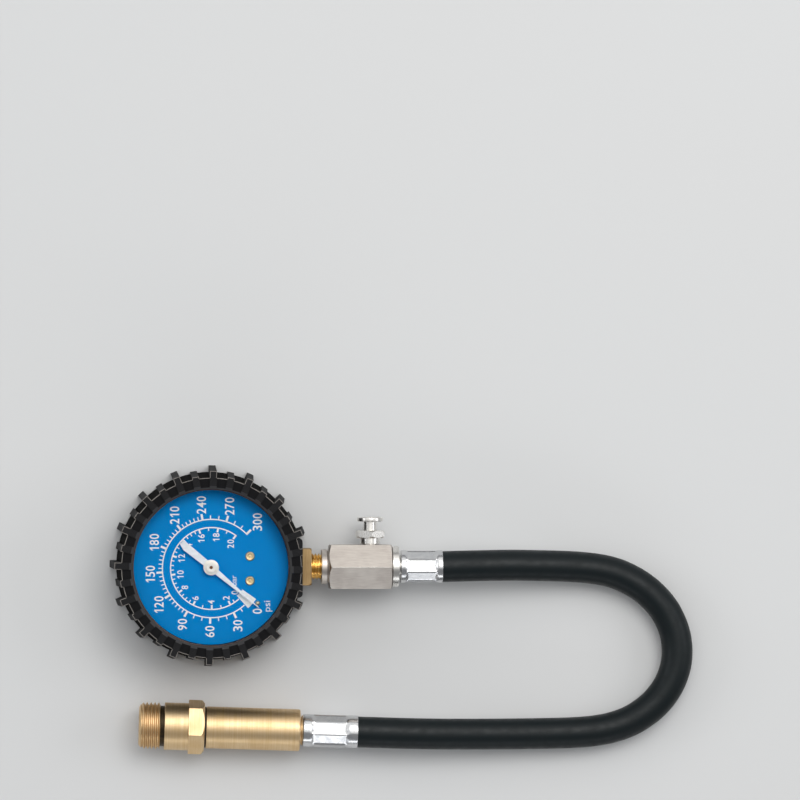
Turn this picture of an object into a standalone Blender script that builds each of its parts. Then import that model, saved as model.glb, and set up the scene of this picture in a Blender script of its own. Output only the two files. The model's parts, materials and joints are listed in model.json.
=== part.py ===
"""Compression tester gauge: a 63 mm dial gauge in a ribbed rubber boot, its stem and release valve,
a short hose with crimped ferrules, and a brass end fitting that carries an M18 adaptor.

Metres, +Z out of the dial. The origin is on the dial's axis, at the flat back of the boot, and the
stem runs along +X. The whole tool lies on its back, as it does on a bench.
"""

import math

import bmesh
import bpy
from mathutils import Matrix, Vector

# Clearances
GAP = 0.0003  # between faces that touch
FINE_GAP = 0.0001  # round small pins and under small seats
EDGE = 0.0003  # small broken edges
JOIN = 0.0010  # how far a shape runs into the one that a union joins it to

# Steps round a turned piece
COARSE = 12
FINE = 20
HEX_TURNED = 24
LARGE = 40
SPRING_STEPS = 8
SPRING_SIDES = 4
BOOT_STEPS = 48
HALF_STEP = (0, 0, math.pi / COARSE)

# Gauge case and the window in its mouth
CASE_RADIUS = 0.0310
CASE_WALL = 0.0005
CASE_CORNER = 0.0020
BEAD_WIDTH = 0.0006
BEAD_HEIGHT = 0.0008
WINDOW_THICKNESS = 0.0015
WINDOW_SIDE_GAP = 0.0002
BEZEL_RING_WIDTH = 0.0004
BEZEL_RING_HEIGHT = 0.0009
DIAL_TO_WINDOW = 0.0051

# Rubber boot
BOOT_FLOOR = 0.0025
BOOT_FLOOR_RELIEF = 0.0010
BOOT_RIM_WIDTH = 0.0050
BOOT_WALL = 0.0033
BOOT_FLARE = 0.0019
LIP_OVERLAP = 0.0008
LIP_THICKNESS = 0.0009
LIP_SLOPE = 0.0007
LIP_SLOPE_DROP = 0.0004
RIB_COUNT = 32
RIB_WIDTH = 0.00265
RIB_RISE = 0.0008
RIB_EDGE = 0.0004
RIB_INNER_SLOPE = 0.0012
BOOT_TRIM = 0.0010
LONG_RIB = 0.0026
SHORT_RIB = 0.0008
FIRST_LONG_RIB = math.radians(21.3)
STEM_BOSS_PROUD = 0.0004
STEM_BOSS_CORNER = 0.0015
STEM_BOSS_WIDTH = 0.0228

# Socket and stem, turned and milled from one brass bar, with its axis along +X
STEM_HEIGHT = 0.0102
STEM_SQUARE = 0.0142
STEM_EXPOSED = 0.0039
STEM_NECK = 0.0039
STEM_END_CHAMFER = 0.0015
STEM_END_CHAMFER_DEPTH = 0.0007
STEM_THREAD_RADIUS = 0.0051
STEM_THREAD = 0.0092
STEM_BORE_RADIUS = 0.00175
SOCKET_FOOT_END = 0.0275
SOCKET_HEAD_START = 0.0184
TONGUE_START = 0.0110
TONGUE_RISE = 0.0015
CROSS_DRILL_RADIUS = 0.0012
RESTRICTOR_LENGTH = 0.0045
RESTRICTOR_RECESS = 0.0015
RESTRICTOR_HOLE_RADIUS = 0.0003
CASE_SCREW_PLACES = (0.0140, 0.0230)
CASE_SCREW_HEAD_RADIUS = 0.0022
CASE_SCREW_HEAD = 0.0008
CASE_SCREW_RADIUS = 0.0012
CASE_SCREW_LENGTH = 0.0050
SCREW_POINT = 0.0005

# Bourdon tube, a flattened C spring from the socket round to its free tip
TUBE_INSIDE_CASE = 0.0080
TUBE_WIDTH = 0.0070
TUBE_THICKNESS = 0.0024
TUBE_WALL = 0.0004
TUBE_BELOW_STEM = 0.0005
TUBE_ROOT = math.radians(-10.0)
TUBE_TIP = math.radians(62.0)
TUBE_STEPS = 20
TUBE_BEND_STEPS = 3
SLOT_SPREAD = 0.0007
SLOT_DIRECTION = math.radians(15.0)
END_PIECE_LENGTH = 0.0042
END_PIECE_WALL = 0.0008
END_PIECE_LUG = 0.0008
TIP_PIN_INSIDE_TUBE = 0.0027

# Movement: two plates, a sector gear and the pinion that turns the pointer
PLATE_THICKNESS = 0.0010
PLATE_SPACING = 0.0054
PLATE_ROUND_ARBOR = 0.0030
PLATE_ROUND_PIVOT = 0.0024
PLATE_ROUND_POST = 0.0005
GEAR_MODULE = 0.00025
PINION_TEETH = 12
SECTOR_FULL_TEETH = 96
SECTOR_TEETH_BEFORE = 11
SECTOR_TEETH_AFTER = 2
PRESSURE_ANGLE = math.radians(25.0)
ADDENDUM = 0.8
DEDENDUM = 1.1
BACKLASH = 0.00006
PIVOT_DIRECTION = math.radians(52.0)
POINTER_SWEEP = math.radians(276.0)
SECTOR_THICKNESS = 0.0008
SECTOR_RIM = 0.0016
SECTOR_HUB = 0.0022
SECTOR_ARM_NARROWING = 0.92
SECTOR_ARM_HALF_ANGLE = 0.26
SECTOR_HUB_TURNS = (0.9, 1.4)
SECTOR_RISE = 0.0024
SECTOR_ARBOR_RADIUS = 0.0009
PIVOT_RADIUS = 0.0005
PINION_LENGTH = 0.0021
ARBOR_RADIUS = 0.00055
COLLET_RADIUS = 0.0010
TAIL_LENGTH = 0.0060
TAIL_DIRECTION = math.radians(-7.25)
LINK_THICKNESS = 0.0006
LINK_EYE = 0.0012
LINK_PIN_RADIUS = 0.0004
DIAL_POST_REACH = 0.0150
DIAL_POST_HALF_SPREAD = 0.0047
DIAL_POST_RADIUS = 0.0019
POST_STUD_RADIUS = 0.0011
POST_STUD_LENGTH = 0.0040
FAR_PILLAR = (-0.0045, -0.0045)
FAR_PILLAR_RADIUS = 0.0014
HAIRSPRING_TURNS = 3.0
HAIRSPRING_OUTER = 0.0047
HAIRSPRING_WIDTH = 0.0005
HAIRSPRING_THICKNESS = 0.00012

# Dial and pointer
DIAL_THICKNESS = 0.0005
DIAL_SCREW_HEAD_RADIUS = 0.0018
DIAL_SCREW_HEAD = 0.0006
DIAL_SCREW_RADIUS = 0.0008
DIAL_SCREW_LENGTH = 0.0045
STOP_PIN_INSIDE_DIAL = 0.0072
STOP_PIN_DIRECTION = math.radians(322.5)
STOP_PIN_RADIUS = 0.00075
STOP_PIN_HEIGHT = 0.0026
POINTER_REST = math.radians(319.5)
POINTER_LIFT = 0.0019
POINTER_THICKNESS = 0.0004
POINTER_INSIDE_DIAL = 0.0063
POINTER_ROOT_HALF_WIDTH = 0.00085
POINTER_TIP_HALF_WIDTH = 0.00012
POINTER_POINT = 0.0004
TAIL_REACH = 0.0157
TAIL_ROOT_HALF_WIDTH = 0.00130
TAIL_END_HALF_WIDTH = 0.00166
TAIL_CUT = 0.0020
HUB_RADIUS = 0.0030
HUB_HEIGHT = 0.0009
HUB_BOSS_RADIUS = 0.0013

# Manifold block between the stem and the hose
BLOCK_COLLAR_RADIUS = 0.00665
BLOCK_COLLAR = 0.0024
BLOCK_GROOVE = 0.0005
BLOCK_GROOVE_DEPTH = 0.0006
BLOCK_ACROSS_FLATS = 0.0170
BLOCK_LENGTH = 0.0243
BLOCK_CHAMFER = 0.0011
BLOCK_PASSAGE_RADIUS = 0.0020

# Release valve on the block's side flat, with its axis along +Y
VALVE_FROM_BLOCK_START = 0.0160
VALVE_NECK_RADIUS = 0.0038
VALVE_NECK = 0.0023
VALVE_ACROSS_FLATS = 0.0104
VALVE_HEX = 0.0029
VALVE_CHAMFER = 0.0007
VALVE_THREAD_RADIUS = 0.0030
VALVE_THREAD = 0.0052
PLUNGER_RADIUS = 0.0025
PLUNGER_EXPOSED = 0.0035
PLUNGER_GUIDE = 0.0022
PLUNGER_ROD_RADIUS = 0.0009
BUTTON_RADIUS = 0.0050
BUTTON_THICKNESS = 0.0019
BUTTON_STROKE = 0.0025
RELEASE_SPRING_RADIUS = 0.0017
RELEASE_SPRING_WIRE = 0.00025
SEAT_DEPTH = 0.0020
SEAL_RADIUS = 0.0019
SEAL_THICKNESS = 0.0010
BUTTON_EDGE = 0.0004

# Hose nipples, one at each end
FLANGE_RADIUS = 0.0079
FLANGE = 0.0025
SPIGOT_RADIUS = 0.0049
SPIGOT = 0.0044
NIPPLE_NECK_RADIUS = 0.0042
NIPPLE_NECK = 0.0021
BARB_RADIUS = 0.0036
BARB_ROOT_RADIUS = 0.0030
BARB_PITCH = 0.0040
BARBS = 3
NIPPLE_BORE_RADIUS = 0.00175

# Crimped ferrules and the hose between them, which is pressed thin inside them
HOSE_RADIUS = 0.0060
HOSE_PRESSED_RADIUS = 0.0050
HOSE_END_BORE = 0.0039
HOSE_SIDES = 10
FERRULE_RADIUS = 0.00635
FERRULE_CRIMP = 0.00045
FERRULE_FLATS = 8
FERRULE_WALL = 0.0007
FERRULE_END_WALL = 0.0010
FERRULE_RECESS = 0.0008
FERRULE_EDGE = 0.0004
CRIMP_RAMP = 0.0005
NEAR_FERRULE = 0.0161
NEAR_CRIMP = (0.0022, NEAR_FERRULE - 0.0023)
FAR_FERRULE = 0.0211
FAR_CRIMP = (0.0040, FAR_FERRULE - 0.0049)
HOSE_POINT_SPACING = 0.0080
HOSE_ROUTE = (
    (0.0900, 0.0000, 0.0130),
    (0.1020, 0.0003, 0.0126),
    (0.1160, 0.0005, 0.0114),
    (0.1273, 0.0003, 0.0101),
    (0.1376, 0.0000, 0.0087),
    (0.1460, -0.0006, 0.0077),
    (0.1528, -0.0016, 0.0071),
    (0.1582, -0.0031, 0.0067),
    (0.1633, -0.0054, 0.0064),
    (0.1680, -0.0083, 0.0063),
    (0.1723, -0.0120, 0.0062),
    (0.1760, -0.0163, 0.0062),
    (0.1788, -0.0213, 0.0062),
    (0.1807, -0.0268, 0.0062),
    (0.1814, -0.0326, 0.0062),
    (0.1809, -0.0385, 0.0062),
    (0.1791, -0.0441, 0.0062),
    (0.1763, -0.0491, 0.0062),
    (0.1726, -0.0535, 0.0062),
    (0.1682, -0.0571, 0.0063),
    (0.1634, -0.0600, 0.0063),
    (0.1583, -0.0620, 0.0064),
    (0.1528, -0.0634, 0.0065),
    (0.1462, -0.0643, 0.0067),
    (0.1367, -0.0648, 0.0071),
    (0.1246, -0.0650, 0.0077),
    (0.1126, -0.0651, 0.0084),
    (0.1000, -0.0651, 0.0092),
    (0.0870, -0.0650, 0.0099),
    (0.0735, -0.0647, 0.0104),
    (0.0573, -0.0642, 0.0105),
)

# End fitting, a long brass sleeve with the check valve inside it
FAR_END_START = (0.0570, -0.0642)
FAR_END_YAW = math.radians(1.77)
SLEEVE_RADIUS = 0.0081
SLEEVE_LENGTH = 0.0373
SLEEVE_CHAMFER = 0.0012
STUB_RADIUS = 0.0069
STUB_LENGTH = 0.0136
STUB_CHAMFER = 0.0008
VALVE_CORE_RADIUS = 0.0026
VALVE_CORE_LENGTH = 0.0140
VALVE_CORE_RECESS = 0.0100
CORE_SEAT = 0.0040
CORE_SEAT_RADIUS = 0.00075
CORE_SPRING_ROOM_RADIUS = 0.0018
CHECK_PIN_RADIUS = 0.00045
CHECK_CUP_RADIUS = 0.0019
CHECK_CUP = 0.0015
CHECK_HEAD_RADIUS = 0.0015
CHECK_HEAD = 0.0010
CHECK_PIN_TIP = 0.0012
CHECK_STROKE = 0.0012
CHECK_SPRING_RADIUS = 0.0011
CHECK_SPRING_WIRE = 0.0002

# M18 adaptor, screwed over the stub against a soft ring
SEAL_RING_WIDTH = 0.0005
SEAL_RING_OUTER = 0.0079
ADAPTOR_ACROSS_FLATS = 0.0186
ADAPTOR_HEX = 0.0062
ADAPTOR_CHAMFER = 0.0010
ADAPTOR_HEX_TURN = math.radians(45.4)
ADAPTOR_COLLAR_RADIUS = 0.00915
ADAPTOR_COLLAR = 0.0093
ADAPTOR_GROOVE_RADIUS = 0.0078
ADAPTOR_GROOVE = 0.0017
ADAPTOR_THREAD_RADIUS = 0.0090
ADAPTOR_THREAD = 0.0082
ADAPTOR_LEAD_IN = 0.0019
ADAPTOR_PORT_RADIUS = 0.0042
REST_GAP = 0.0001

# Heights in the gauge, from the boot's back to its front
CASE_BACK = BOOT_FLOOR + GAP
CASE_FLOOR = CASE_BACK + CASE_WALL
STEM_AXIS = CASE_BACK + STEM_HEIGHT
TUBE_AXIS = STEM_AXIS - TUBE_BELOW_STEM
TONGUE_TOP = STEM_AXIS + TONGUE_RISE
BACK_PLATE = TONGUE_TOP + FINE_GAP
GEAR_FLOOR = BACK_PLATE + PLATE_THICKNESS
FRONT_PLATE = GEAR_FLOOR + PLATE_SPACING
DIAL_BACK = FRONT_PLATE + PLATE_THICKNESS + FINE_GAP
DIAL_FRONT = DIAL_BACK + DIAL_THICKNESS
WINDOW_BACK = DIAL_FRONT + DIAL_TO_WINDOW
WINDOW_FRONT = WINDOW_BACK + WINDOW_THICKNESS
BEZEL_RING_BACK = WINDOW_FRONT + FINE_GAP
CASE_RIM = BEZEL_RING_BACK + BEZEL_RING_HEIGHT + FINE_GAP
LIP_BACK = CASE_RIM + GAP
BOOT_RING_FRONT = LIP_BACK + LIP_THICKNESS
BOOT_FRONT = BOOT_RING_FRONT + RIB_RISE
SECTOR_BACK = GEAR_FLOOR + SECTOR_RISE
SECTOR_FRONT = SECTOR_BACK + SECTOR_THICKNESS
LINK_FRONT = SECTOR_BACK - GAP
LINK_BACK = LINK_FRONT - LINK_THICKNESS
LUG_FRONT = LINK_BACK - GAP
PINION_BACK = (SECTOR_BACK + SECTOR_FRONT - PINION_LENGTH) / 2
PINION_FRONT = PINION_BACK + PINION_LENGTH
HAIRSPRING_BACK = PINION_FRONT + GAP
POINTER_BACK = DIAL_FRONT + POINTER_LIFT
POINTER_FRONT = POINTER_BACK + POINTER_THICKNESS
HUB_BACK = POINTER_FRONT + FINE_GAP
HUB_FRONT = HUB_BACK + HUB_HEIGHT

# Radii in the gauge
CASE_INSIDE = CASE_RADIUS - CASE_WALL
WINDOW_RADIUS = CASE_INSIDE - WINDOW_SIDE_GAP
DIAL_RADIUS = CASE_INSIDE - BEAD_WIDTH - FINE_GAP
POINTER_REACH = DIAL_RADIUS - POINTER_INSIDE_DIAL
STOP_PIN_REACH = DIAL_RADIUS - STOP_PIN_INSIDE_DIAL
TUBE_RADIUS = CASE_INSIDE - TUBE_INSIDE_CASE
TIP_PIN_RADIUS = TUBE_RADIUS - TIP_PIN_INSIDE_TUBE
BOOT_POCKET = CASE_RADIUS + GAP
LIP_RADIUS = CASE_RADIUS - LIP_OVERLAP
BOOT_FRONT_RADIUS = BOOT_POCKET + BOOT_WALL
BOOT_BACK_RADIUS = BOOT_FRONT_RADIUS + BOOT_FLARE
STEM_BOSS = BOOT_FRONT_RADIUS + STEM_BOSS_PROUD

# Places along the stem
STEM_SHOULDER = STEM_BOSS + STEM_EXPOSED
BLOCK_START = STEM_SHOULDER + STEM_NECK
BLOCK_HEX_START = BLOCK_START + BLOCK_COLLAR + BLOCK_GROOVE
BLOCK_END = BLOCK_HEX_START + BLOCK_LENGTH
STEM_THREAD_END = BLOCK_START + STEM_THREAD
VALVE_PLACE = BLOCK_HEX_START + VALVE_FROM_BLOCK_START
FLANGE_START = BLOCK_END + GAP
NEAR_FERRULE_START = FLANGE_START + FLANGE + FERRULE_RECESS

# Gears
PINION_PITCH = GEAR_MODULE * PINION_TEETH / 2
SECTOR_PITCH = GEAR_MODULE * SECTOR_FULL_TEETH / 2
GEAR_CENTRES = PINION_PITCH + SECTOR_PITCH
SECTOR_PIVOT = (GEAR_CENTRES * math.cos(PIVOT_DIRECTION), GEAR_CENTRES * math.sin(PIVOT_DIRECTION))
SECTOR_TOOTH = 2 * math.pi / SECTOR_FULL_TEETH
TAIL_PIN = (
    SECTOR_PIVOT[0] + TAIL_LENGTH * math.cos(TAIL_DIRECTION),
    SECTOR_PIVOT[1] + TAIL_LENGTH * math.sin(TAIL_DIRECTION),
)
TIP_PIN = (TIP_PIN_RADIUS * math.cos(TUBE_TIP), TIP_PIN_RADIUS * math.sin(TUBE_TIP))

# Places along the end fitting, from the hose's end of its ferrule
SLEEVE_START = FAR_FERRULE + GAP
SLEEVE_END = SLEEVE_START + SLEEVE_LENGTH
STUB_END = SLEEVE_END + STUB_LENGTH
ADAPTOR_START = SLEEVE_END + SEAL_RING_WIDTH + 2 * FINE_GAP
ADAPTOR_CORNER_RADIUS = ADAPTOR_ACROSS_FLATS / 2 / math.cos(math.pi / 6)
ADAPTOR_LOWEST_CORNER = math.pi - ADAPTOR_HEX_TURN - 2 * math.pi / 3
FAR_AXIS = ADAPTOR_CORNER_RADIUS * math.cos(ADAPTOR_LOWEST_CORNER) + REST_GAP
CORE_END = STUB_END - VALVE_CORE_RECESS
CORE_START = CORE_END - VALVE_CORE_LENGTH


def material(name, colour, roughness, metallic=0.0, alpha=1.0):
    """A Principled material. The colour is linear RGB."""
    made = bpy.data.materials.new(name)
    made.use_nodes = True
    shader = made.node_tree.nodes["Principled BSDF"]
    shader.inputs["Base Color"].default_value = (*colour, 1)
    shader.inputs["Roughness"].default_value = roughness
    shader.inputs["Metallic"].default_value = metallic
    shader.inputs["Alpha"].default_value = alpha
    made.diffuse_color = (*colour, alpha)
    return made


def make_materials():
    return {
        "black_rubber": material("black_rubber", (0.020, 0.021, 0.022), 0.80),
        "hose_rubber": material("hose_rubber", (0.018, 0.024, 0.028), 0.55),
        "dark_seal": material("dark_seal", (0.010, 0.010, 0.011), 0.60),
        "case_steel": material("case_steel", (0.060, 0.050, 0.045), 0.45, 0.9),
        "clear_window": material("clear_window", (0.90, 0.93, 0.95), 0.05, 0.0, 0.15),
        "dial_blue": material("dial_blue", (0.000, 0.209, 0.527), 0.45),
        "pointer_silver": material("pointer_silver", (0.64, 0.66, 0.73), 0.35, 0.7),
        "hub_cream": material("hub_cream", (0.64, 0.64, 0.60), 0.40, 0.3),
        "milled_brass": material("milled_brass", (0.30, 0.20, 0.10), 0.45, 0.9),
        "bright_brass": material("bright_brass", (0.80, 0.58, 0.28), 0.22, 1.0),
        "screw_brass": material("screw_brass", (0.62, 0.46, 0.23), 0.35, 0.9),
        "bright_nickel": material("bright_nickel", (0.80, 0.79, 0.77), 0.20, 1.0),
        "brushed_nickel": material("brushed_nickel", (0.60, 0.56, 0.53), 0.38, 1.0),
        "plated_steel": material("plated_steel", (0.66, 0.69, 0.74), 0.25, 1.0),
        "spring_steel": material("spring_steel", (0.45, 0.45, 0.46), 0.35, 1.0),
    }


def clear_scene():
    for old in list(bpy.data.objects):
        bpy.data.objects.remove(old, do_unlink=True)


def axis_empty(name, place, turn=(0, 0, 0)):
    """An empty whose own Z is a turned piece's axis."""
    empty = bpy.data.objects.new(name, None)
    empty.location = place
    empty.rotation_euler = turn
    bpy.context.scene.collection.objects.link(empty)
    return empty


def place(name, mesh_data, finish, parent=None, location=(0, 0, 0), turn=(0, 0, 0)):
    """Adds a bmesh to the scene as one named object."""
    bmesh.ops.remove_doubles(mesh_data, verts=mesh_data.verts, dist=1e-7)
    bmesh.ops.recalc_face_normals(mesh_data, faces=mesh_data.faces)
    mesh = bpy.data.meshes.new(name)
    mesh_data.to_mesh(mesh)
    mesh_data.free()
    made = bpy.data.objects.new(name, mesh)
    made.parent = parent
    made.location = location
    made.rotation_euler = turn
    bpy.context.scene.collection.objects.link(made)
    if finish is None:
        made.hide_render = True
        made.display_type = "WIRE"
        return made
    mesh.materials.append(finish)
    mesh.shade_smooth()
    mesh.set_sharp_from_angle(angle=math.radians(30))
    return made


def apply_boolean(target, tool, operation="DIFFERENCE"):
    modifier = target.modifiers.new(tool.name, "BOOLEAN")
    modifier.operation = operation
    modifier.solver = "EXACT"
    modifier.object = tool


def turned(profile, steps=FINE):
    """A solid of revolution about Z. The profile is (radius, height) points, closed by the axis."""
    made = bmesh.new()
    points = [made.verts.new((radius, 0, height)) for radius, height in profile]
    on_axis = profile[0][0] == 0 and profile[-1][0] == 0
    pairs = zip(points, points[1:] if on_axis else points[1:] + points[:1])
    edges = [made.edges.new(pair) for pair in pairs]
    turn = {"cent": (0, 0, 0), "axis": (0, 0, 1), "angle": 2 * math.pi}
    bmesh.ops.spin(made, geom=points + edges, steps=steps, use_merge=True, **turn)
    bmesh.ops.remove_doubles(made, verts=made.verts, dist=1e-7)
    return made


def cylinder(radius, low, high, steps=FINE):
    return turned([(0, low), (radius, low), (radius, high), (0, high)], steps)


def ring_points(radius, steps, centre=(0, 0), phase=0.0):
    turns = (phase + 2 * math.pi * i / steps for i in range(steps))
    return [(centre[0] + radius * math.cos(a), centre[1] + radius * math.sin(a)) for a in turns]


def plate(outline, low, high, holes=()):
    """A flat outline with holes, extruded from one height to another."""
    made = bmesh.new()
    for loop in (outline, *holes):
        corners = [made.verts.new((x, y, low)) for x, y in loop]
        for a, b in zip(corners, corners[1:] + corners[:1]):
            made.edges.new((a, b))
    bmesh.ops.triangle_fill(made, edges=made.edges[:], use_beauty=True, normal=(0, 0, 1))
    grown = bmesh.ops.extrude_face_region(made, geom=made.faces[:])
    top = [item for item in grown["geom"] if isinstance(item, bmesh.types.BMVert)]
    bmesh.ops.translate(made, verts=top, vec=(0, 0, high - low))
    return made


def loft(sections, closed=False):
    """Joins sections of equal point counts with faces, and caps the two ends unless it closes on itself."""
    made = bmesh.new()
    loops = [[made.verts.new(point) for point in section] for section in sections]
    following = loops[1:] + loops[:1] if closed else loops[1:]
    for first, second in zip(loops, following):
        for i, corner in enumerate(first):
            after = (i + 1) % len(first)
            made.faces.new((corner, first[after], second[after], second[i]))
    if not closed:
        made.faces.new(loops[0][::-1])
        made.faces.new(loops[-1])
    return made


def box(low, high):
    made = bmesh.new()
    size = Vector(high) - Vector(low)
    middle = (Vector(high) + Vector(low)) / 2
    bmesh.ops.create_cube(made, size=1, matrix=Matrix.Translation(middle) @ Matrix.Diagonal((*size, 1)))
    return made


def hexagon(across_flats, phase):
    return ring_points(across_flats / 2 / math.cos(math.pi / 6), 6, phase=phase)


def rounded_hull(circles, steps=16):
    """The convex outline round a set of (x, y, radius) circles."""
    cloud = sorted({p for x, y, r in circles for p in ring_points(r, steps, (x, y))})

    def half(points):
        kept = []
        for p in points:
            while len(kept) > 1 and cross(kept[-2], kept[-1], p) <= 0:
                kept.pop()
            kept.append(p)
        return kept[:-1]

    def cross(a, b, c):
        return (b[0] - a[0]) * (c[1] - a[1]) - (b[1] - a[1]) * (c[0] - a[0])

    return half(cloud) + half(cloud[::-1])


def chamfered_hex(name, across_flats, start, end, chamfer, finish, parent, phase=0.0, both_ends=True):
    """A hexagon whose corners are turned off at its ends, as on a nut."""
    long_hex = plate(hexagon(across_flats, phase), start - GAP, end + GAP)
    made = place(name, long_hex, finish, parent)
    corner = across_flats / 2 / math.cos(math.pi / 6) + FINE_GAP
    face = across_flats / 2 - FINE_GAP
    profile = [(0, start), (face, start), (corner, start + chamfer)]
    profile += [(corner, end - chamfer), (face, end)] if both_ends else [(corner, end)]
    envelope = turned([*profile, (0, end)], HEX_TURNED)
    apply_boolean(made, place(name + "_envelope", envelope, None, parent), "INTERSECT")
    return made


def add_boot_rib(ribs, turn, reach):
    """One rib: a plate that stands on the ring's front and runs down its flared side."""
    outer = BOOT_FRONT_RADIUS + reach
    below = 2 * BOOT_FLARE * BOOT_TRIM / BOOT_FRONT
    buried = BOOT_POCKET + GAP
    tip = LIP_RADIUS + FINE_GAP
    inside_lip = LIP_BACK + GAP
    side = [
        (buried, -2 * BOOT_TRIM),
        (outer + BOOT_FLARE + below, -2 * BOOT_TRIM),
        (outer, BOOT_FRONT - RIB_EDGE),
        (outer - RIB_EDGE, BOOT_FRONT),
        (tip + RIB_INNER_SLOPE, BOOT_FRONT),
        (tip, BOOT_RING_FRONT - LIP_SLOPE_DROP + FINE_GAP),
        (tip, inside_lip),
        (buried, inside_lip),
    ]
    rib = plate(side, -RIB_WIDTH / 2, RIB_WIDTH / 2)
    upright = Matrix.Rotation(turn, 4, "Z") @ Matrix.Rotation(math.pi / 2, 4, "X")
    bmesh.ops.transform(rib, matrix=upright, verts=rib.verts)
    mesh = bpy.data.meshes.new("rib")
    rib.to_mesh(mesh)
    rib.free()
    ribs.from_mesh(mesh)
    bpy.data.meshes.remove(mesh)


def make_boot(finish):
    """The boot is trimmed flat at its back, once its ring, ribs and stem boss are one piece."""
    ring = [
        (0, -BOOT_TRIM),
        (BOOT_BACK_RADIUS, -BOOT_TRIM),
        (BOOT_BACK_RADIUS, 0),
        (BOOT_FRONT_RADIUS, BOOT_RING_FRONT),
        (LIP_RADIUS + LIP_SLOPE, BOOT_RING_FRONT),
        (LIP_RADIUS, BOOT_RING_FRONT - LIP_SLOPE_DROP),
        (LIP_RADIUS, LIP_BACK),
        (BOOT_POCKET, LIP_BACK),
        (BOOT_POCKET, BOOT_FLOOR),
        (CASE_RADIUS - BOOT_RIM_WIDTH, BOOT_FLOOR),
        (CASE_RADIUS - BOOT_RIM_WIDTH, BOOT_FLOOR - BOOT_FLOOR_RELIEF),
        (0, BOOT_FLOOR - BOOT_FLOOR_RELIEF),
    ]
    boot = place("boot", turned(ring, BOOT_STEPS), finish)
    half_width = STEM_BOSS_WIDTH / 2
    beyond = BOOT_BACK_RADIUS + LONG_RIB + STEM_BOSS_PROUD
    boss_front = BOOT_RING_FRONT - FINE_GAP
    buried = BOOT_POCKET + 2 * GAP
    corner, past = STEM_BOSS - STEM_BOSS_CORNER, STEM_BOSS + BOOT_TRIM
    past_width = half_width - STEM_BOSS_CORNER - BOOT_TRIM
    outline = [
        (buried, -half_width),
        (corner, -half_width),
        (past, -past_width),
        (past, past_width),
        (corner, half_width),
        (buried, half_width),
    ]
    boss = plate(outline, -1.5 * BOOT_TRIM, boss_front)
    apply_boolean(boot, place("boot_stem_boss", boss, None), "UNION")
    ribs = bmesh.new()
    for i in range(RIB_COUNT):
        turn = FIRST_LONG_RIB + 2 * math.pi * i / RIB_COUNT
        at_boss = abs(math.sin(turn)) * STEM_BOSS < half_width and math.cos(turn) > 0
        add_boot_rib(ribs, turn, LONG_RIB if i % 2 == 0 or at_boss else SHORT_RIB)
    apply_boolean(boot, place("boot_ribs", ribs, None), "UNION")
    flat = box((STEM_BOSS, -half_width - GAP, -BOOT_FRONT), (2 * beyond, half_width + GAP, 2 * BOOT_FRONT))
    apply_boolean(boot, place("boot_stem_flat", flat, None))
    under = box((-2 * beyond, -2 * beyond, -BOOT_FRONT), (2 * beyond, 2 * beyond, 0))
    apply_boolean(boot, place("boot_back_trim", under, None))
    apply_boolean(boot, place("boot_stem_hole", stem_hole(), None))


def stem_hole():
    """The square way that the stem takes through the case and the boot."""
    half = STEM_SQUARE / 2 + GAP
    start, end = CASE_INSIDE - 2 * JOIN, STEM_BOSS + 2 * JOIN
    return box((start, -half, STEM_AXIS - half), (end, half, STEM_AXIS + half))


def make_case(finish):
    floor_edge = CASE_RADIUS - CASE_CORNER
    inside_edge = CASE_INSIDE - CASE_CORNER + CASE_WALL
    outside = [(CASE_RADIUS - CASE_CORNER * (1 - math.sin(a)), CASE_BACK + CASE_CORNER * (1 - math.cos(a)))
               for a in (math.radians(d) for d in (0, 45, 90))]
    inner_corner = CASE_CORNER - CASE_WALL
    inside = [(CASE_INSIDE - inner_corner * (1 - math.sin(a)), CASE_FLOOR + inner_corner * (1 - math.cos(a)))
              for a in (math.radians(d) for d in (90, 45, 0))]
    bead_back = WINDOW_BACK - FINE_GAP - BEAD_HEIGHT
    profile = [
        (0, CASE_BACK),
        (floor_edge, CASE_BACK),
        *outside[1:],
        (CASE_RADIUS, CASE_RIM),
        (CASE_INSIDE, CASE_RIM),
        (CASE_INSIDE, WINDOW_BACK - FINE_GAP),
        (CASE_INSIDE - BEAD_WIDTH, WINDOW_BACK - FINE_GAP),
        (CASE_INSIDE - BEAD_WIDTH, bead_back),
        (CASE_INSIDE, bead_back - BEAD_WIDTH),
        *inside[:-1],
        (inside_edge, CASE_FLOOR),
        (0, CASE_FLOOR),
    ]
    case = place("case", turned(profile, LARGE), finish)
    apply_boolean(case, place("case_stem_hole", stem_hole(), None))
    for i, x in enumerate(CASE_SCREW_PLACES):
        hole = cylinder(CASE_SCREW_RADIUS + GAP, -GAP, CASE_WALL + GAP, COARSE)
        name = f"case_screw_hole_{i + 1}"
        apply_boolean(case, place(name, hole, None, location=(x, 0, CASE_BACK), turn=HALF_STEP))


def make_window(window_finish, ring_finish):
    pane = [
        (0, WINDOW_BACK),
        (WINDOW_RADIUS, WINDOW_BACK),
        (WINDOW_RADIUS, WINDOW_FRONT - EDGE),
        (WINDOW_RADIUS - EDGE, WINDOW_FRONT),
        (0, WINDOW_FRONT),
    ]
    place("window", turned(pane, LARGE), window_finish)
    ring_front = BEZEL_RING_BACK + BEZEL_RING_HEIGHT
    ring = [
        (WINDOW_RADIUS, BEZEL_RING_BACK),
        (WINDOW_RADIUS, ring_front),
        (WINDOW_RADIUS - BEZEL_RING_WIDTH, ring_front),
        (WINDOW_RADIUS - BEZEL_RING_WIDTH, BEZEL_RING_BACK),
    ]
    place("bezel_ring", turned(ring, LARGE), ring_finish)


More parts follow.
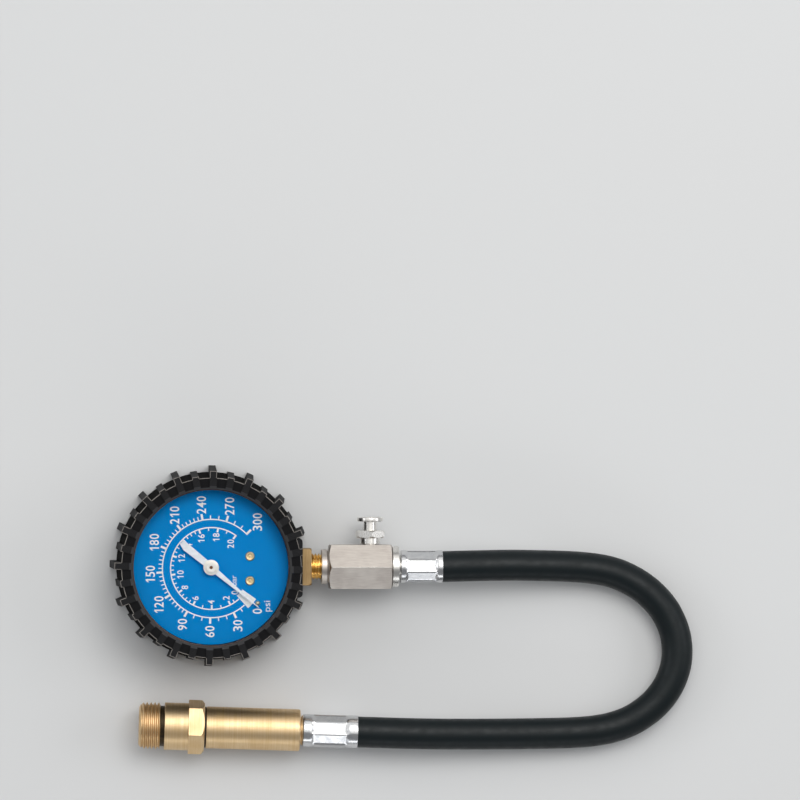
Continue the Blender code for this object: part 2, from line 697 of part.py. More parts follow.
def make_socket(finish, stem_axis):
    """The socket's foot, the square stem and its threaded neck, drilled through to the tube's root."""
    half = STEM_SQUARE / 2
    foot = CASE_FLOOR + GAP
    side = [
        (TONGUE_START, foot),
        (SOCKET_FOOT_END, foot),
        (SOCKET_FOOT_END, STEM_AXIS - half),
        (STEM_SHOULDER, STEM_AXIS - half),
        (STEM_SHOULDER, STEM_AXIS + half),
        (SOCKET_HEAD_START, STEM_AXIS + half),
        (SOCKET_HEAD_START, TONGUE_TOP),
        (TONGUE_START, TONGUE_TOP),
    ]
    body = plate(side, -half, half)
    bmesh.ops.transform(body, matrix=Matrix.Rotation(math.pi / 2, 4, "X"), verts=body.verts)
    socket = place("socket", body, finish)
    corner = half * math.sqrt(2)
    end_chamfer = [
        (corner - STEM_END_CHAMFER_DEPTH, STEM_SHOULDER),
        (corner, STEM_SHOULDER - STEM_END_CHAMFER),
        (corner + GAP, STEM_SHOULDER - STEM_END_CHAMFER),
        (corner + GAP, STEM_SHOULDER + GAP),
        (corner - STEM_END_CHAMFER_DEPTH, STEM_SHOULDER + GAP),
    ]
    apply_boolean(socket, place("socket_end_chamfer", turned(end_chamfer), None, stem_axis))
    neck = cylinder(STEM_THREAD_RADIUS, STEM_SHOULDER - JOIN, STEM_THREAD_END)
    apply_boolean(socket, place("socket_neck", neck, None, stem_axis), "UNION")
    bore = cylinder(STEM_BORE_RADIUS, TUBE_RADIUS - STEM_BORE_RADIUS, STEM_THREAD_END + GAP, COARSE)
    apply_boolean(socket, place("socket_bore", bore, None, stem_axis))

    reach = TUBE_THICKNESS / 2 + GAP + SLOT_SPREAD
    root_side = TUBE_RADIUS * math.sin(TUBE_ROOT) + GAP + 2 * FINE_GAP
    slot_middle = TUBE_RADIUS * math.cos(SLOT_DIRECTION)
    slot = box(
        (slot_middle - reach, -half - GAP, -TUBE_WIDTH / 2 - GAP),
        (slot_middle + reach, root_side, TUBE_WIDTH / 2 + GAP),
    )
    apply_boolean(socket, place("socket_tube_slot", slot, None, location=(0, 0, TUBE_AXIS)))
    drill = cylinder(CROSS_DRILL_RADIUS, 0, GAP - root_side, COARSE)
    at = (TUBE_RADIUS, 0, STEM_AXIS)
    apply_boolean(socket, place("socket_cross_drill", drill, None, location=at, turn=(math.pi / 2, 0, 0)))
    for i, x in enumerate(CASE_SCREW_PLACES):
        hole = cylinder(CASE_SCREW_RADIUS + GAP, -GAP, CASE_SCREW_LENGTH + GAP, COARSE)
        name = f"socket_screw_hole_{i + 1}"
        apply_boolean(socket, place(name, hole, None, location=(x, 0, foot), turn=HALF_STEP))
    for i, side_of_axis in enumerate((1, -1)):
        hole = cylinder(POST_STUD_RADIUS + FINE_GAP, -POST_STUD_LENGTH - GAP, GAP, COARSE)
        at = (DIAL_POST_REACH, side_of_axis * DIAL_POST_HALF_SPREAD, TONGUE_TOP)
        apply_boolean(socket, place(f"socket_post_hole_{i + 1}", hole, None, location=at))


def make_case_screws(finish):
    """Pan-head screws that hold the socket's foot to the case from behind."""
    head = [(0, 0), (CASE_SCREW_HEAD_RADIUS * 0.7, 0), (CASE_SCREW_HEAD_RADIUS, CASE_SCREW_HEAD * 0.5)]
    top = CASE_SCREW_HEAD + FINE_GAP + CASE_WALL + GAP + CASE_SCREW_LENGTH
    shank = [
        (CASE_SCREW_HEAD_RADIUS, CASE_SCREW_HEAD),
        (CASE_SCREW_RADIUS, CASE_SCREW_HEAD),
        (CASE_SCREW_RADIUS, top - SCREW_POINT),
        (CASE_SCREW_RADIUS - SCREW_POINT, top),
        (0, top),
    ]
    for i, x in enumerate(CASE_SCREW_PLACES):
        at = (x, 0, CASE_BACK - FINE_GAP - CASE_SCREW_HEAD)
        place(f"case_screw_{i + 1}", turned(head + shank, COARSE), finish, location=at, turn=HALF_STEP)


def make_restrictor(finish, stem_axis):
    """The small drilled screw that damps the pressure on its way into the tube."""
    end = STEM_THREAD_END - RESTRICTOR_RECESS
    start = end - RESTRICTOR_LENGTH
    inner, outer = RESTRICTOR_HOLE_RADIUS, STEM_BORE_RADIUS - FINE_GAP
    profile = [(inner, start), (outer, start), (outer, end), (inner, end)]
    place("restrictor_screw", turned(profile, COARSE), finish, stem_axis)


def tube_section(direction, thickness, width):
    """One oval section of the tube, in the plane that holds the dial's axis."""
    outward = Vector((math.cos(direction), math.sin(direction), 0))
    bend = thickness / 2
    straight = width / 2 - bend
    points = []
    for side in (1, -1):
        for step in range(TUBE_BEND_STEPS + 1):
            a = math.pi * (step / TUBE_BEND_STEPS - 0.5)
            across, up = bend * math.sin(a) * -side, side * (straight + bend * math.cos(a))
            points.append(outward * (TUBE_RADIUS + across) + Vector((0, 0, TUBE_AXIS + up)))
    return points


def make_tube(tube_finish, end_finish):
    """The Bourdon tube, hollow from its root in the socket to its closed tip, and the block brazed on it."""
    sweep = TUBE_ROOT - (TUBE_TIP - 2 * math.pi)
    outer = [TUBE_ROOT - sweep * i / TUBE_STEPS for i in range(TUBE_STEPS + 1)]
    inner_sweep = sweep - TUBE_WALL / TUBE_RADIUS
    inner = [TUBE_ROOT - inner_sweep * i / TUBE_STEPS for i in range(TUBE_STEPS + 1)]
    bore = (TUBE_THICKNESS - 2 * TUBE_WALL, TUBE_WIDTH - 2 * TUBE_WALL)
    sections = [tube_section(a, TUBE_THICKNESS, TUBE_WIDTH) for a in outer[::-1]]
    sections += [tube_section(a, *bore) for a in inner]
    place("bourdon_tube", loft(sections), tube_finish)

    half = TUBE_THICKNESS / 2 + GAP + END_PIECE_WALL
    bend = END_PIECE_LENGTH**2 / TUBE_RADIUS / 2
    back = TUBE_AXIS - TUBE_WIDTH / 2 - GAP - END_PIECE_WALL
    tip = axis_empty("tube_tip", (0, 0, 0), (0, 0, TUBE_TIP))
    body = box(
        (TUBE_RADIUS - half - bend, -END_PIECE_WALL - GAP, back),
        (TUBE_RADIUS + half, END_PIECE_LENGTH - END_PIECE_WALL, LUG_FRONT),
    )
    end_piece = place("tube_end_piece", body, end_finish, tip)
    lug_outline = rounded_hull([(TIP_PIN_RADIUS, 0, LINK_EYE), (TUBE_RADIUS, EDGE, LINK_EYE)])
    lug = plate(lug_outline, LUG_FRONT - END_PIECE_LUG, LUG_FRONT)
    apply_boolean(end_piece, place("tube_end_lug", lug, None, tip), "UNION")
    pocket_half = TUBE_THICKNESS / 2 + GAP
    pocket = box(
        (TUBE_RADIUS - pocket_half - bend, -GAP, TUBE_AXIS - TUBE_WIDTH / 2 - GAP),
        (TUBE_RADIUS + pocket_half, END_PIECE_LENGTH, TUBE_AXIS + TUBE_WIDTH / 2 + GAP),
    )
    apply_boolean(end_piece, place("tube_end_pocket", pocket, None, tip))
    hole = cylinder(LINK_PIN_RADIUS + FINE_GAP, LUG_FRONT - END_PIECE_LUG - GAP, LUG_FRONT + GAP, COARSE)
    apply_boolean(end_piece, place("tube_end_hole", hole, None, tip, (TIP_PIN_RADIUS, 0, 0)))


def plate_outline():
    x, y = SECTOR_PIVOT
    return rounded_hull(
        [
            (0, 0, PLATE_ROUND_ARBOR),
            (x, y, PLATE_ROUND_PIVOT),
            (DIAL_POST_REACH, DIAL_POST_HALF_SPREAD, DIAL_POST_RADIUS + PLATE_ROUND_POST),
            (DIAL_POST_REACH, -DIAL_POST_HALF_SPREAD, DIAL_POST_RADIUS + PLATE_ROUND_POST),
            (*FAR_PILLAR, FAR_PILLAR_RADIUS + PLATE_ROUND_POST),
        ],
        COARSE,
    )


def make_plates(finish):
    pivot_hole = PIVOT_RADIUS + FINE_GAP
    posts = [(DIAL_POST_REACH, side * DIAL_POST_HALF_SPREAD) for side in (1, -1)]
    shared = [
        ring_points(pivot_hole, COARSE, SECTOR_PIVOT),
        ring_points(FAR_PILLAR_RADIUS * 0.6 + FINE_GAP, COARSE, FAR_PILLAR),
    ]
    back_holes = shared + [ring_points(pivot_hole, COARSE)]
    back_holes += [ring_points(POST_STUD_RADIUS + FINE_GAP, COARSE, post) for post in posts]
    place("movement_back_plate", plate(plate_outline(), BACK_PLATE, GEAR_FLOOR, back_holes), finish)
    front_holes = shared + [ring_points(ARBOR_RADIUS + FINE_GAP, COARSE)]
    front_holes += [ring_points(DIAL_SCREW_RADIUS + GAP, COARSE, post) for post in posts]
    front = plate(plate_outline(), FRONT_PLATE, FRONT_PLATE + PLATE_THICKNESS, front_holes)
    place("movement_front_plate", front, finish)


def make_pillars(finish):
    low, high = GEAR_FLOOR + FINE_GAP, FRONT_PLATE - FINE_GAP
    bore = DIAL_SCREW_RADIUS + GAP
    stud_end = TONGUE_TOP - POST_STUD_LENGTH
    bore_floor = high - DIAL_SCREW_LENGTH + DIAL_THICKNESS + PLATE_THICKNESS
    post = [
        (0, stud_end),
        (POST_STUD_RADIUS, stud_end),
        (POST_STUD_RADIUS, low),
        (DIAL_POST_RADIUS, low),
        (DIAL_POST_RADIUS, high),
        (bore, high),
        (bore, bore_floor - GAP),
        (0, bore_floor - GAP),
    ]
    for i, side in enumerate((1, -1)):
        at = (DIAL_POST_REACH, side * DIAL_POST_HALF_SPREAD, 0)
        place(f"dial_post_{i + 1}", turned(post, COARSE), finish, location=at)
    stud = FAR_PILLAR_RADIUS * 0.6
    pillar = [
        (0, BACK_PLATE + FINE_GAP),
        (stud, BACK_PLATE + FINE_GAP),
        (stud, low),
        (FAR_PILLAR_RADIUS, low),
        (FAR_PILLAR_RADIUS, high),
        (stud, high),
        (stud, FRONT_PLATE + PLATE_THICKNESS - FINE_GAP),
        (0, FRONT_PLATE + PLATE_THICKNESS - FINE_GAP),
    ]
    place("movement_pillar", turned(pillar, COARSE), finish, location=(*FAR_PILLAR, 0))


def polar(radius, turn):
    return radius * math.cos(turn), radius * math.sin(turn)


def gear_tooth(centre, pitch, tooth_half, outline_steps):
    """The points of one involute tooth, from its root on one side to its root on the other."""
    base = pitch * math.cos(PRESSURE_ANGLE)
    root = pitch - DEDENDUM * GEAR_MODULE
    tip = pitch + ADDENDUM * GEAR_MODULE

    def half_angle(radius):
        a = math.acos(min(1, base / max(radius, base)))
        return tooth_half / pitch + involute(PRESSURE_ANGLE) - involute(a)

    radii = [root] + [root + (tip - root) * i / outline_steps for i in range(1, outline_steps + 1)]
    rising = [(r, centre - half_angle(r)) for r in radii]
    falling = [(r, centre + half_angle(r)) for r in radii[::-1]]
    return [polar(r, a) for r, a in rising + falling]


def involute(angle):
    return math.tan(angle) - angle


def tooth_half_thickness():
    return (math.pi * GEAR_MODULE - BACKLASH) / 4


def make_pinion(finish):
    """The pointer's arbor, with its pinion cut in it and a tooth on the line between the gear centres."""
    shoulder = GEAR_FLOOR + FINE_GAP
    collet_end = FRONT_PLATE - FINE_GAP
    arbor_end = HUB_FRONT + FINE_GAP
    profile = [
        (0, BACK_PLATE + FINE_GAP),
        (PIVOT_RADIUS, BACK_PLATE + FINE_GAP),
        (PIVOT_RADIUS, shoulder),
        (COLLET_RADIUS, shoulder),
        (COLLET_RADIUS, collet_end),
        (ARBOR_RADIUS, collet_end),
        (ARBOR_RADIUS, arbor_end),
        (0, arbor_end),
    ]
    arbor = place("pinion_arbor", turned(profile, COARSE), finish)
    teeth = []
    for i in range(PINION_TEETH):
        centre = PIVOT_DIRECTION + 2 * math.pi * i / PINION_TEETH
        teeth += gear_tooth(centre, PINION_PITCH, tooth_half_thickness(), 1)
    gear = place("pinion_gear", plate(teeth, PINION_BACK, PINION_FRONT), None)
    apply_boolean(arbor, gear, "UNION")


def sector_outline():
    """A toothed fan about the sector's pivot, narrowing to the hub, with the tail that the link pulls."""
    contact = PIVOT_DIRECTION + math.pi
    places = range(-SECTOR_TEETH_BEFORE, SECTOR_TEETH_AFTER)
    points = []
    for k in places:
        points += gear_tooth(contact + (k + 0.5) * SECTOR_TOOTH, SECTOR_PITCH, tooth_half_thickness(), 1)
    start = math.atan2(points[0][1], points[0][0])
    end = math.atan2(points[-1][1], points[-1][0])
    middle = contact + (SECTOR_TEETH_AFTER - SECTOR_TEETH_BEFORE) / 2 * SECTOR_TOOTH
    inner = SECTOR_PITCH - DEDENDUM * GEAR_MODULE - SECTOR_RIM
    arm = inner * SECTOR_ARM_NARROWING
    near, far = SECTOR_HUB_TURNS
    tail = TAIL_DIRECTION
    to_hub = [polar(inner, end), polar(arm, middle + SECTOR_ARM_HALF_ANGLE)]
    to_hub += [polar(SECTOR_HUB, a) for a in (middle + near, middle + far, tail - near)]
    eye_turns = (tail + math.radians(d) for d in range(-100, 101, 40))
    tail_end = Vector(polar(TAIL_LENGTH, tail))
    eye = [tuple(tail_end + Vector(polar(LINK_EYE, a))) for a in eye_turns]
    from_hub = [polar(SECTOR_HUB, a) for a in (tail + near, middle - far, middle - near)]
    from_hub += [polar(arm, middle - SECTOR_ARM_HALF_ANGLE), polar(inner, start)]
    return points + to_hub + eye + from_hub


def make_sector(sector_finish, arbor_finish, pivot):
    """The sector stands between the plates on its own arbor, and the link's pin goes through its tail."""
    tail_pin = polar(TAIL_LENGTH, TAIL_DIRECTION)
    holes = [ring_points(SECTOR_ARBOR_RADIUS + FINE_GAP, COARSE)]
    holes += [ring_points(LINK_PIN_RADIUS + FINE_GAP, COARSE, tail_pin)]
    place("sector_gear", plate(sector_outline(), SECTOR_BACK, SECTOR_FRONT, holes), sector_finish, pivot)
    low, high = GEAR_FLOOR + FINE_GAP, FRONT_PLATE - FINE_GAP
    arbor = [
        (0, BACK_PLATE + FINE_GAP),
        (PIVOT_RADIUS, BACK_PLATE + FINE_GAP),
        (PIVOT_RADIUS, low),
        (SECTOR_ARBOR_RADIUS, low),
        (SECTOR_ARBOR_RADIUS, high),
        (PIVOT_RADIUS, high),
        (PIVOT_RADIUS, FRONT_PLATE + PLATE_THICKNESS - FINE_GAP),
        (0, FRONT_PLATE + PLATE_THICKNESS - FINE_GAP),
    ]
    place("sector_arbor", turned(arbor, COARSE), arbor_finish, pivot)
    pin = cylinder(LINK_PIN_RADIUS, LINK_BACK - GAP, SECTOR_FRONT + GAP, COARSE)
    place("sector_tail_pin", pin, arbor_finish, pivot, (*tail_pin, 0))


def make_link(link_finish, pin_finish, tail_axis):
    """The link is a flat bar with round eyes, laid from the sector's tail to the tube's tip."""
    reach = Vector(TIP_PIN) - Vector(TAIL_PIN)
    length = reach.length
    eyes = ((0, 0), (length, 0))
    outline = []
    for x, turn in ((length, 0), (0, math.pi)):
        for d in range(-140, 141, 35):
            a = turn + math.radians(d)
            outline.append((x + LINK_EYE * math.cos(a), LINK_EYE * math.sin(a)))
    holes = [ring_points(LINK_PIN_RADIUS + FINE_GAP, COARSE, eye) for eye in eyes]
    direction = (0, 0, math.atan2(reach.y, reach.x))
    place("link", plate(outline, LINK_BACK, LINK_FRONT, holes), link_finish, tail_axis, turn=direction)
    pin = cylinder(LINK_PIN_RADIUS, LUG_FRONT - END_PIECE_LUG - GAP, LINK_FRONT + GAP, COARSE)
    place("link_tip_pin", pin, pin_finish, tail_axis, (reach.x, reach.y, 0))


def make_hairspring(finish):
    """A flat spiral from the arbor's collet out to the far pillar."""
    steps = round(HAIRSPRING_TURNS * COARSE)
    outer_turn = math.atan2(FAR_PILLAR[1], FAR_PILLAR[0])
    inner = COLLET_RADIUS + FINE_GAP + HAIRSPRING_THICKNESS
    sections = []
    for i in range(steps + 1):
        share = i / steps
        a = outer_turn - 2 * math.pi * HAIRSPRING_TURNS * (1 - share)
        radius = inner + (HAIRSPRING_OUTER - inner) * share
        outward = Vector((math.cos(a), math.sin(a), 0))
        near = outward * (radius - HAIRSPRING_THICKNESS / 2)
        far = outward * (radius + HAIRSPRING_THICKNESS / 2)
        low, high = Vector((0, 0, HAIRSPRING_BACK)), Vector((0, 0, HAIRSPRING_BACK + HAIRSPRING_WIDTH))
        sections.append([near + low, far + low, far + high, near + high])
    place("hairspring", loft(sections), finish)


def make_dial(dial_finish, screw_finish, pin_finish):
    posts = [(DIAL_POST_REACH, side * DIAL_POST_HALF_SPREAD) for side in (1, -1)]
    stop = polar(STOP_PIN_REACH, STOP_PIN_DIRECTION)
    holes = [ring_points(ARBOR_RADIUS + GAP, COARSE), ring_points(STOP_PIN_RADIUS + FINE_GAP, COARSE, stop)]
    holes += [ring_points(DIAL_SCREW_RADIUS + FINE_GAP, COARSE, post) for post in posts]
    outline = ring_points(DIAL_RADIUS, LARGE)
    place("dial", plate(outline, DIAL_BACK, DIAL_FRONT, holes), dial_finish)

    seat = FINE_GAP
    dimple = DIAL_SCREW_HEAD_RADIUS * 0.45
    screw = [
        (0, seat + DIAL_SCREW_HEAD * 0.6),
        (dimple, seat + DIAL_SCREW_HEAD * 0.6),
        (dimple, seat + DIAL_SCREW_HEAD),
        (DIAL_SCREW_HEAD_RADIUS * 0.85, seat + DIAL_SCREW_HEAD),
        (DIAL_SCREW_HEAD_RADIUS, seat + DIAL_SCREW_HEAD * 0.6),
        (DIAL_SCREW_HEAD_RADIUS, seat),
        (DIAL_SCREW_RADIUS, seat),
        (DIAL_SCREW_RADIUS, seat - DIAL_SCREW_LENGTH + FINE_GAP),
        (0, seat - DIAL_SCREW_LENGTH + FINE_GAP),
    ]
    for i, post in enumerate(posts):
        place(f"dial_screw_{i + 1}", turned(screw, COARSE), screw_finish, location=(*post, DIAL_FRONT))
    pin_foot = DIAL_BACK - GAP
    pin_top = DIAL_FRONT + STOP_PIN_HEIGHT
    pin = turned(
        [
            (0, pin_foot),
            (STOP_PIN_RADIUS, pin_foot),
            (STOP_PIN_RADIUS, pin_top - STOP_PIN_RADIUS * 0.4),
            (STOP_PIN_RADIUS * 0.6, pin_top),
            (0, pin_top),
        ],
        COARSE,
    )
    place("stop_pin", pin, pin_finish, location=(*stop, 0))


def make_pointer(pointer_finish, hub_finish, pointer_axis):
    """The lance-shaped pointer, pressed on a flanged hub that fits the arbor."""
    blade_start = HUB_RADIUS * 0.9
    upper = [
        (blade_start, POINTER_ROOT_HALF_WIDTH),
        (POINTER_REACH - POINTER_POINT, POINTER_TIP_HALF_WIDTH),
        (POINTER_REACH, 0),
    ]
    lower = [(x, -y) for x, y in upper[-2::-1]]
    tail_upper = [
        (-blade_start, -TAIL_ROOT_HALF_WIDTH),
        (-TAIL_REACH + TAIL_CUT, -TAIL_END_HALF_WIDTH),
        (-TAIL_REACH, -TAIL_END_HALF_WIDTH * 0.7),
    ]
    tail_lower = [(x, -y) for x, y in tail_upper[::-1]]
    side = blade_start * 0.9
    outline = [*upper, *lower, (0, -side), *tail_upper, *tail_lower, (0, side)]
    hole = ring_points(HUB_BOSS_RADIUS + FINE_GAP, COARSE)
    blade = plate(outline[::-1], POINTER_BACK, POINTER_FRONT, [hole])
    place("pointer", blade, pointer_finish, pointer_axis, turn=(0, 0, POINTER_REST))
    bore = ARBOR_RADIUS + FINE_GAP
    hub = [
        (bore, POINTER_BACK - GAP),
        (HUB_BOSS_RADIUS, POINTER_BACK - GAP),
        (HUB_BOSS_RADIUS, HUB_BACK),
        (HUB_RADIUS, HUB_BACK),
        (HUB_RADIUS, HUB_FRONT - EDGE),
        (HUB_RADIUS - EDGE, HUB_FRONT),
        (bore, HUB_FRONT),
    ]
    place("pointer_hub", turned(hub), hub_finish, pointer_axis)


def make_block(finish, stem_axis):
    """The hexagonal manifold, with a collar towards the stem and a port for the release valve."""
    block = chamfered_hex(
        "manifold_block", BLOCK_ACROSS_FLATS, BLOCK_HEX_START, BLOCK_END, BLOCK_CHAMFER, finish, stem_axis
    )
    groove = BLOCK_COLLAR_RADIUS - BLOCK_GROOVE_DEPTH
    collar = [
        (0, BLOCK_START),
        (BLOCK_COLLAR_RADIUS - EDGE, BLOCK_START),
        (BLOCK_COLLAR_RADIUS, BLOCK_START + EDGE),
        (BLOCK_COLLAR_RADIUS, BLOCK_START + BLOCK_COLLAR),
        (groove, BLOCK_START + BLOCK_COLLAR),
        (groove, BLOCK_HEX_START + JOIN),
        (0, BLOCK_HEX_START + JOIN),
    ]
    apply_boolean(block, place("block_collar", turned(collar), None, stem_axis), "UNION")
    inlet = STEM_THREAD_RADIUS + GAP
    spigot = SPIGOT_RADIUS + GAP
    spigot_floor = FLANGE_START - SPIGOT - GAP
    bore = [
        (0, BLOCK_START - GAP),
        (inlet, BLOCK_START - GAP),
        (inlet, STEM_THREAD_END + GAP),
        (BLOCK_PASSAGE_RADIUS, STEM_THREAD_END + GAP),
        (BLOCK_PASSAGE_RADIUS, spigot_floor),
        (spigot, spigot_floor),
        (spigot, BLOCK_END + GAP),
        (0, BLOCK_END + GAP),
    ]
    apply_boolean(block, place("block_bore", turned(bore), None, stem_axis))
    port_floor = BLOCK_ACROSS_FLATS / 2 - VALVE_THREAD - SEAL_THICKNESS - BUTTON_STROKE - 4 * GAP
    port = cylinder(VALVE_THREAD_RADIUS + GAP, port_floor, BLOCK_ACROSS_FLATS / 2 + GAP)
    at = (VALVE_PLACE, 0, STEM_AXIS)
    apply_boolean(block, place("block_port", port, None, location=at, turn=(-math.pi / 2, 0, 0)))


def make_release_valve(finish, seal_finish, spring_finish, valve_axis):
    """A spring-closed plunger that lets the pressure out when pressed. Heights are from the block's flat."""
    neck_start = GAP
    hex_start = neck_start + VALVE_NECK
    hex_end = hex_start + VALVE_HEX
    body = chamfered_hex(
        "release_valve_body", VALVE_ACROSS_FLATS, hex_start, hex_end, VALVE_CHAMFER, finish, valve_axis
    )
    thread_end = -VALVE_THREAD
    neck = [
        (0, thread_end),
        (VALVE_THREAD_RADIUS - EDGE, thread_end),
        (VALVE_THREAD_RADIUS, thread_end + EDGE),
        (VALVE_THREAD_RADIUS, neck_start),
        (VALVE_NECK_RADIUS, neck_start),
        (VALVE_NECK_RADIUS, hex_start + EDGE),
        (0, hex_start + EDGE),
    ]
    apply_boolean(body, place("valve_neck", turned(neck), None, valve_axis), "UNION")
    guide_floor = hex_end - PLUNGER_GUIDE - BUTTON_STROKE - GAP
    spring_room = RELEASE_SPRING_RADIUS + RELEASE_SPRING_WIRE + GAP
    seat_top = thread_end + SEAT_DEPTH
    rod_hole = PLUNGER_ROD_RADIUS + FINE_GAP
    bore = [
        (0, thread_end - GAP),
        (rod_hole, thread_end - GAP),
        (rod_hole, seat_top),
        (spring_room, seat_top),
        (spring_room, guide_floor),
        (PLUNGER_RADIUS + FINE_GAP, guide_floor),
        (PLUNGER_RADIUS + FINE_GAP, hex_end + GAP),
        (0, hex_end + GAP),
    ]
    apply_boolean(body, place("valve_bore", turned(bore), None, valve_axis))

    head = hex_end + PLUNGER_EXPOSED
    guide_end = hex_end - PLUNGER_GUIDE
    seal_front = thread_end - FINE_GAP
    seal_back = seal_front - SEAL_THICKNESS
    foot = seal_back - FINE_GAP
    plunger = [
        (0, foot - BUTTON_EDGE),
        (PLUNGER_ROD_RADIUS + BUTTON_EDGE, foot - BUTTON_EDGE),
        (PLUNGER_ROD_RADIUS + BUTTON_EDGE, foot),
        (PLUNGER_ROD_RADIUS, foot),
        (PLUNGER_ROD_RADIUS, guide_end),
        (PLUNGER_RADIUS, guide_end),
        (PLUNGER_RADIUS, head),
        (BUTTON_RADIUS - BUTTON_EDGE, head),
        (BUTTON_RADIUS, head + BUTTON_EDGE),
        (BUTTON_RADIUS, head + BUTTON_THICKNESS - BUTTON_EDGE),
        (BUTTON_RADIUS - BUTTON_EDGE, head + BUTTON_THICKNESS),
        (0, head + BUTTON_THICKNESS),
    ]
    place("release_plunger", turned(plunger), finish, valve_axis)
    seal = cylinder(SEAL_RADIUS, seal_back, seal_front, COARSE)
    seal_ring = place("release_seal", seal, seal_finish, valve_axis)
    rod_way = cylinder(rod_hole, seal_back - GAP, seal_front + GAP, COARSE)
    apply_boolean(seal_ring, place("release_seal_hole", rod_way, None, valve_axis))
    start = seat_top + RELEASE_SPRING_WIRE + FINE_GAP
    end = guide_end - RELEASE_SPRING_WIRE - FINE_GAP
    spring = coil(RELEASE_SPRING_RADIUS, RELEASE_SPRING_WIRE, start, end, 4)
    place("release_spring", spring, spring_finish, valve_axis)


def coil(radius, wire, start, end, turns):
    """A helical spring about Z, of round wire."""
    steps = turns * SPRING_STEPS
    sections = []
    for i in range(steps + 1):
        a = 2 * math.pi * turns * i / steps
        outward = Vector((math.cos(a), math.sin(a), 0))
        middle = outward * radius + Vector((0, 0, start + (end - start) * i / steps))
        around = (math.tau * k / SPRING_SIDES for k in range(SPRING_SIDES))
        up = Vector((0, 0, 1))
        sections.append([middle + wire * (outward * math.cos(b) + up * math.sin(b)) for b in around])
    return loft(sections)


def barbed_nipple(start):
    """The profile of a nipple from its neck to its last barb, running to higher heights."""
    points = [(NIPPLE_NECK_RADIUS, start), (NIPPLE_NECK_RADIUS, start + NIPPLE_NECK)]
    for i in range(BARBS):
        at = start + NIPPLE_NECK + BARB_PITCH * i
        step = at + BARB_PITCH * 0.4
        points += [(BARB_ROOT_RADIUS, at), (BARB_ROOT_RADIUS, step), (BARB_RADIUS, step)]
    end = start + NIPPLE_NECK + BARB_PITCH * BARBS
    return points + [(BARB_ROOT_RADIUS, end)], end


def make_near_nipple(finish, stem_axis):
    spigot_start = FLANGE_START - SPIGOT
    barbs, end = barbed_nipple(FLANGE_START + FLANGE)
    profile = [
        (NIPPLE_BORE_RADIUS, spigot_start),
        (SPIGOT_RADIUS, spigot_start),
        (SPIGOT_RADIUS, FLANGE_START),
        (FLANGE_RADIUS - EDGE, FLANGE_START),
        (FLANGE_RADIUS, FLANGE_START + EDGE),
        (FLANGE_RADIUS, FLANGE_START + FLANGE - EDGE),
        (FLANGE_RADIUS - EDGE, FLANGE_START + FLANGE),
        *barbs,
        (NIPPLE_BORE_RADIUS, end),
    ]
    place("hose_nipple", turned(profile), finish, stem_axis)


def make_ferrule(name, length, crimp, finish, parent, location=(0, 0, 0), turn=(0, 0, 0)):
    """A pressed steel cup, with its end wall at height 0, its mouth at the length and the crimp between."""
    steps = FERRULE_FLATS * 2

    def ring(radius, height, depth=0.0):
        turns = [math.tau * i / steps for i in range(steps)]
        radii = [radius - depth * (0.75 + 0.25 * math.cos(FERRULE_FLATS * a)) for a in turns]
        return [(r * math.cos(a), r * math.sin(a), height) for r, a in zip(radii, turns)]

    inside = FERRULE_RADIUS - FERRULE_CRIMP - FERRULE_WALL
    neck = NIPPLE_NECK_RADIUS + FINE_GAP
    sections = [
        ring(FERRULE_RADIUS - FERRULE_EDGE, 0),
        ring(FERRULE_RADIUS, FERRULE_EDGE),
        ring(FERRULE_RADIUS, crimp[0] - CRIMP_RAMP),
        ring(FERRULE_RADIUS, crimp[0], FERRULE_CRIMP),
        ring(FERRULE_RADIUS, crimp[1], FERRULE_CRIMP),
        ring(FERRULE_RADIUS, crimp[1] + CRIMP_RAMP),
        ring(FERRULE_RADIUS, length - FERRULE_EDGE),
        ring(FERRULE_RADIUS - FERRULE_EDGE, length),
        ring(inside, length),
        ring(inside, FERRULE_END_WALL),
        ring(neck, FERRULE_END_WALL),
        ring(neck, 0),
    ]
    place(name, loft(sections, closed=True), finish, parent, location, turn)


def smooth_route(points, spacing):
    """Points at even steps along a smooth curve through the route's own points."""
    route = [Vector(p) for p in points]
    ends = [2 * route[0] - route[1], *route, 2 * route[-1] - route[-2]]
    dense = []
    for a, b, c, d in zip(ends, ends[1:], ends[2:], ends[3:]):
        for step in range(16):
            t = step / 16
            bend, twist = 2 * a - 5 * b + 4 * c - d, 3 * b - a - 3 * c + d
            dense.append(0.5 * (2 * b + (c - a) * t + bend * t**2 + twist * t**3))
    dense.append(route[-1])
    along = [0.0]
    for a, b in zip(dense, dense[1:]):
        along.append(along[-1] + (b - a).length)
    count = round(along[-1] / spacing)
    kept, i = [], 0
    for k in range(count + 1):
        target = along[-1] * k / count
        while i < len(along) - 2 and along[i + 1] < target:
            i += 1
        share = (target - along[i]) / (along[i + 1] - along[i])
        kept.append(dense[i].lerp(dense[i + 1], share))
    return kept


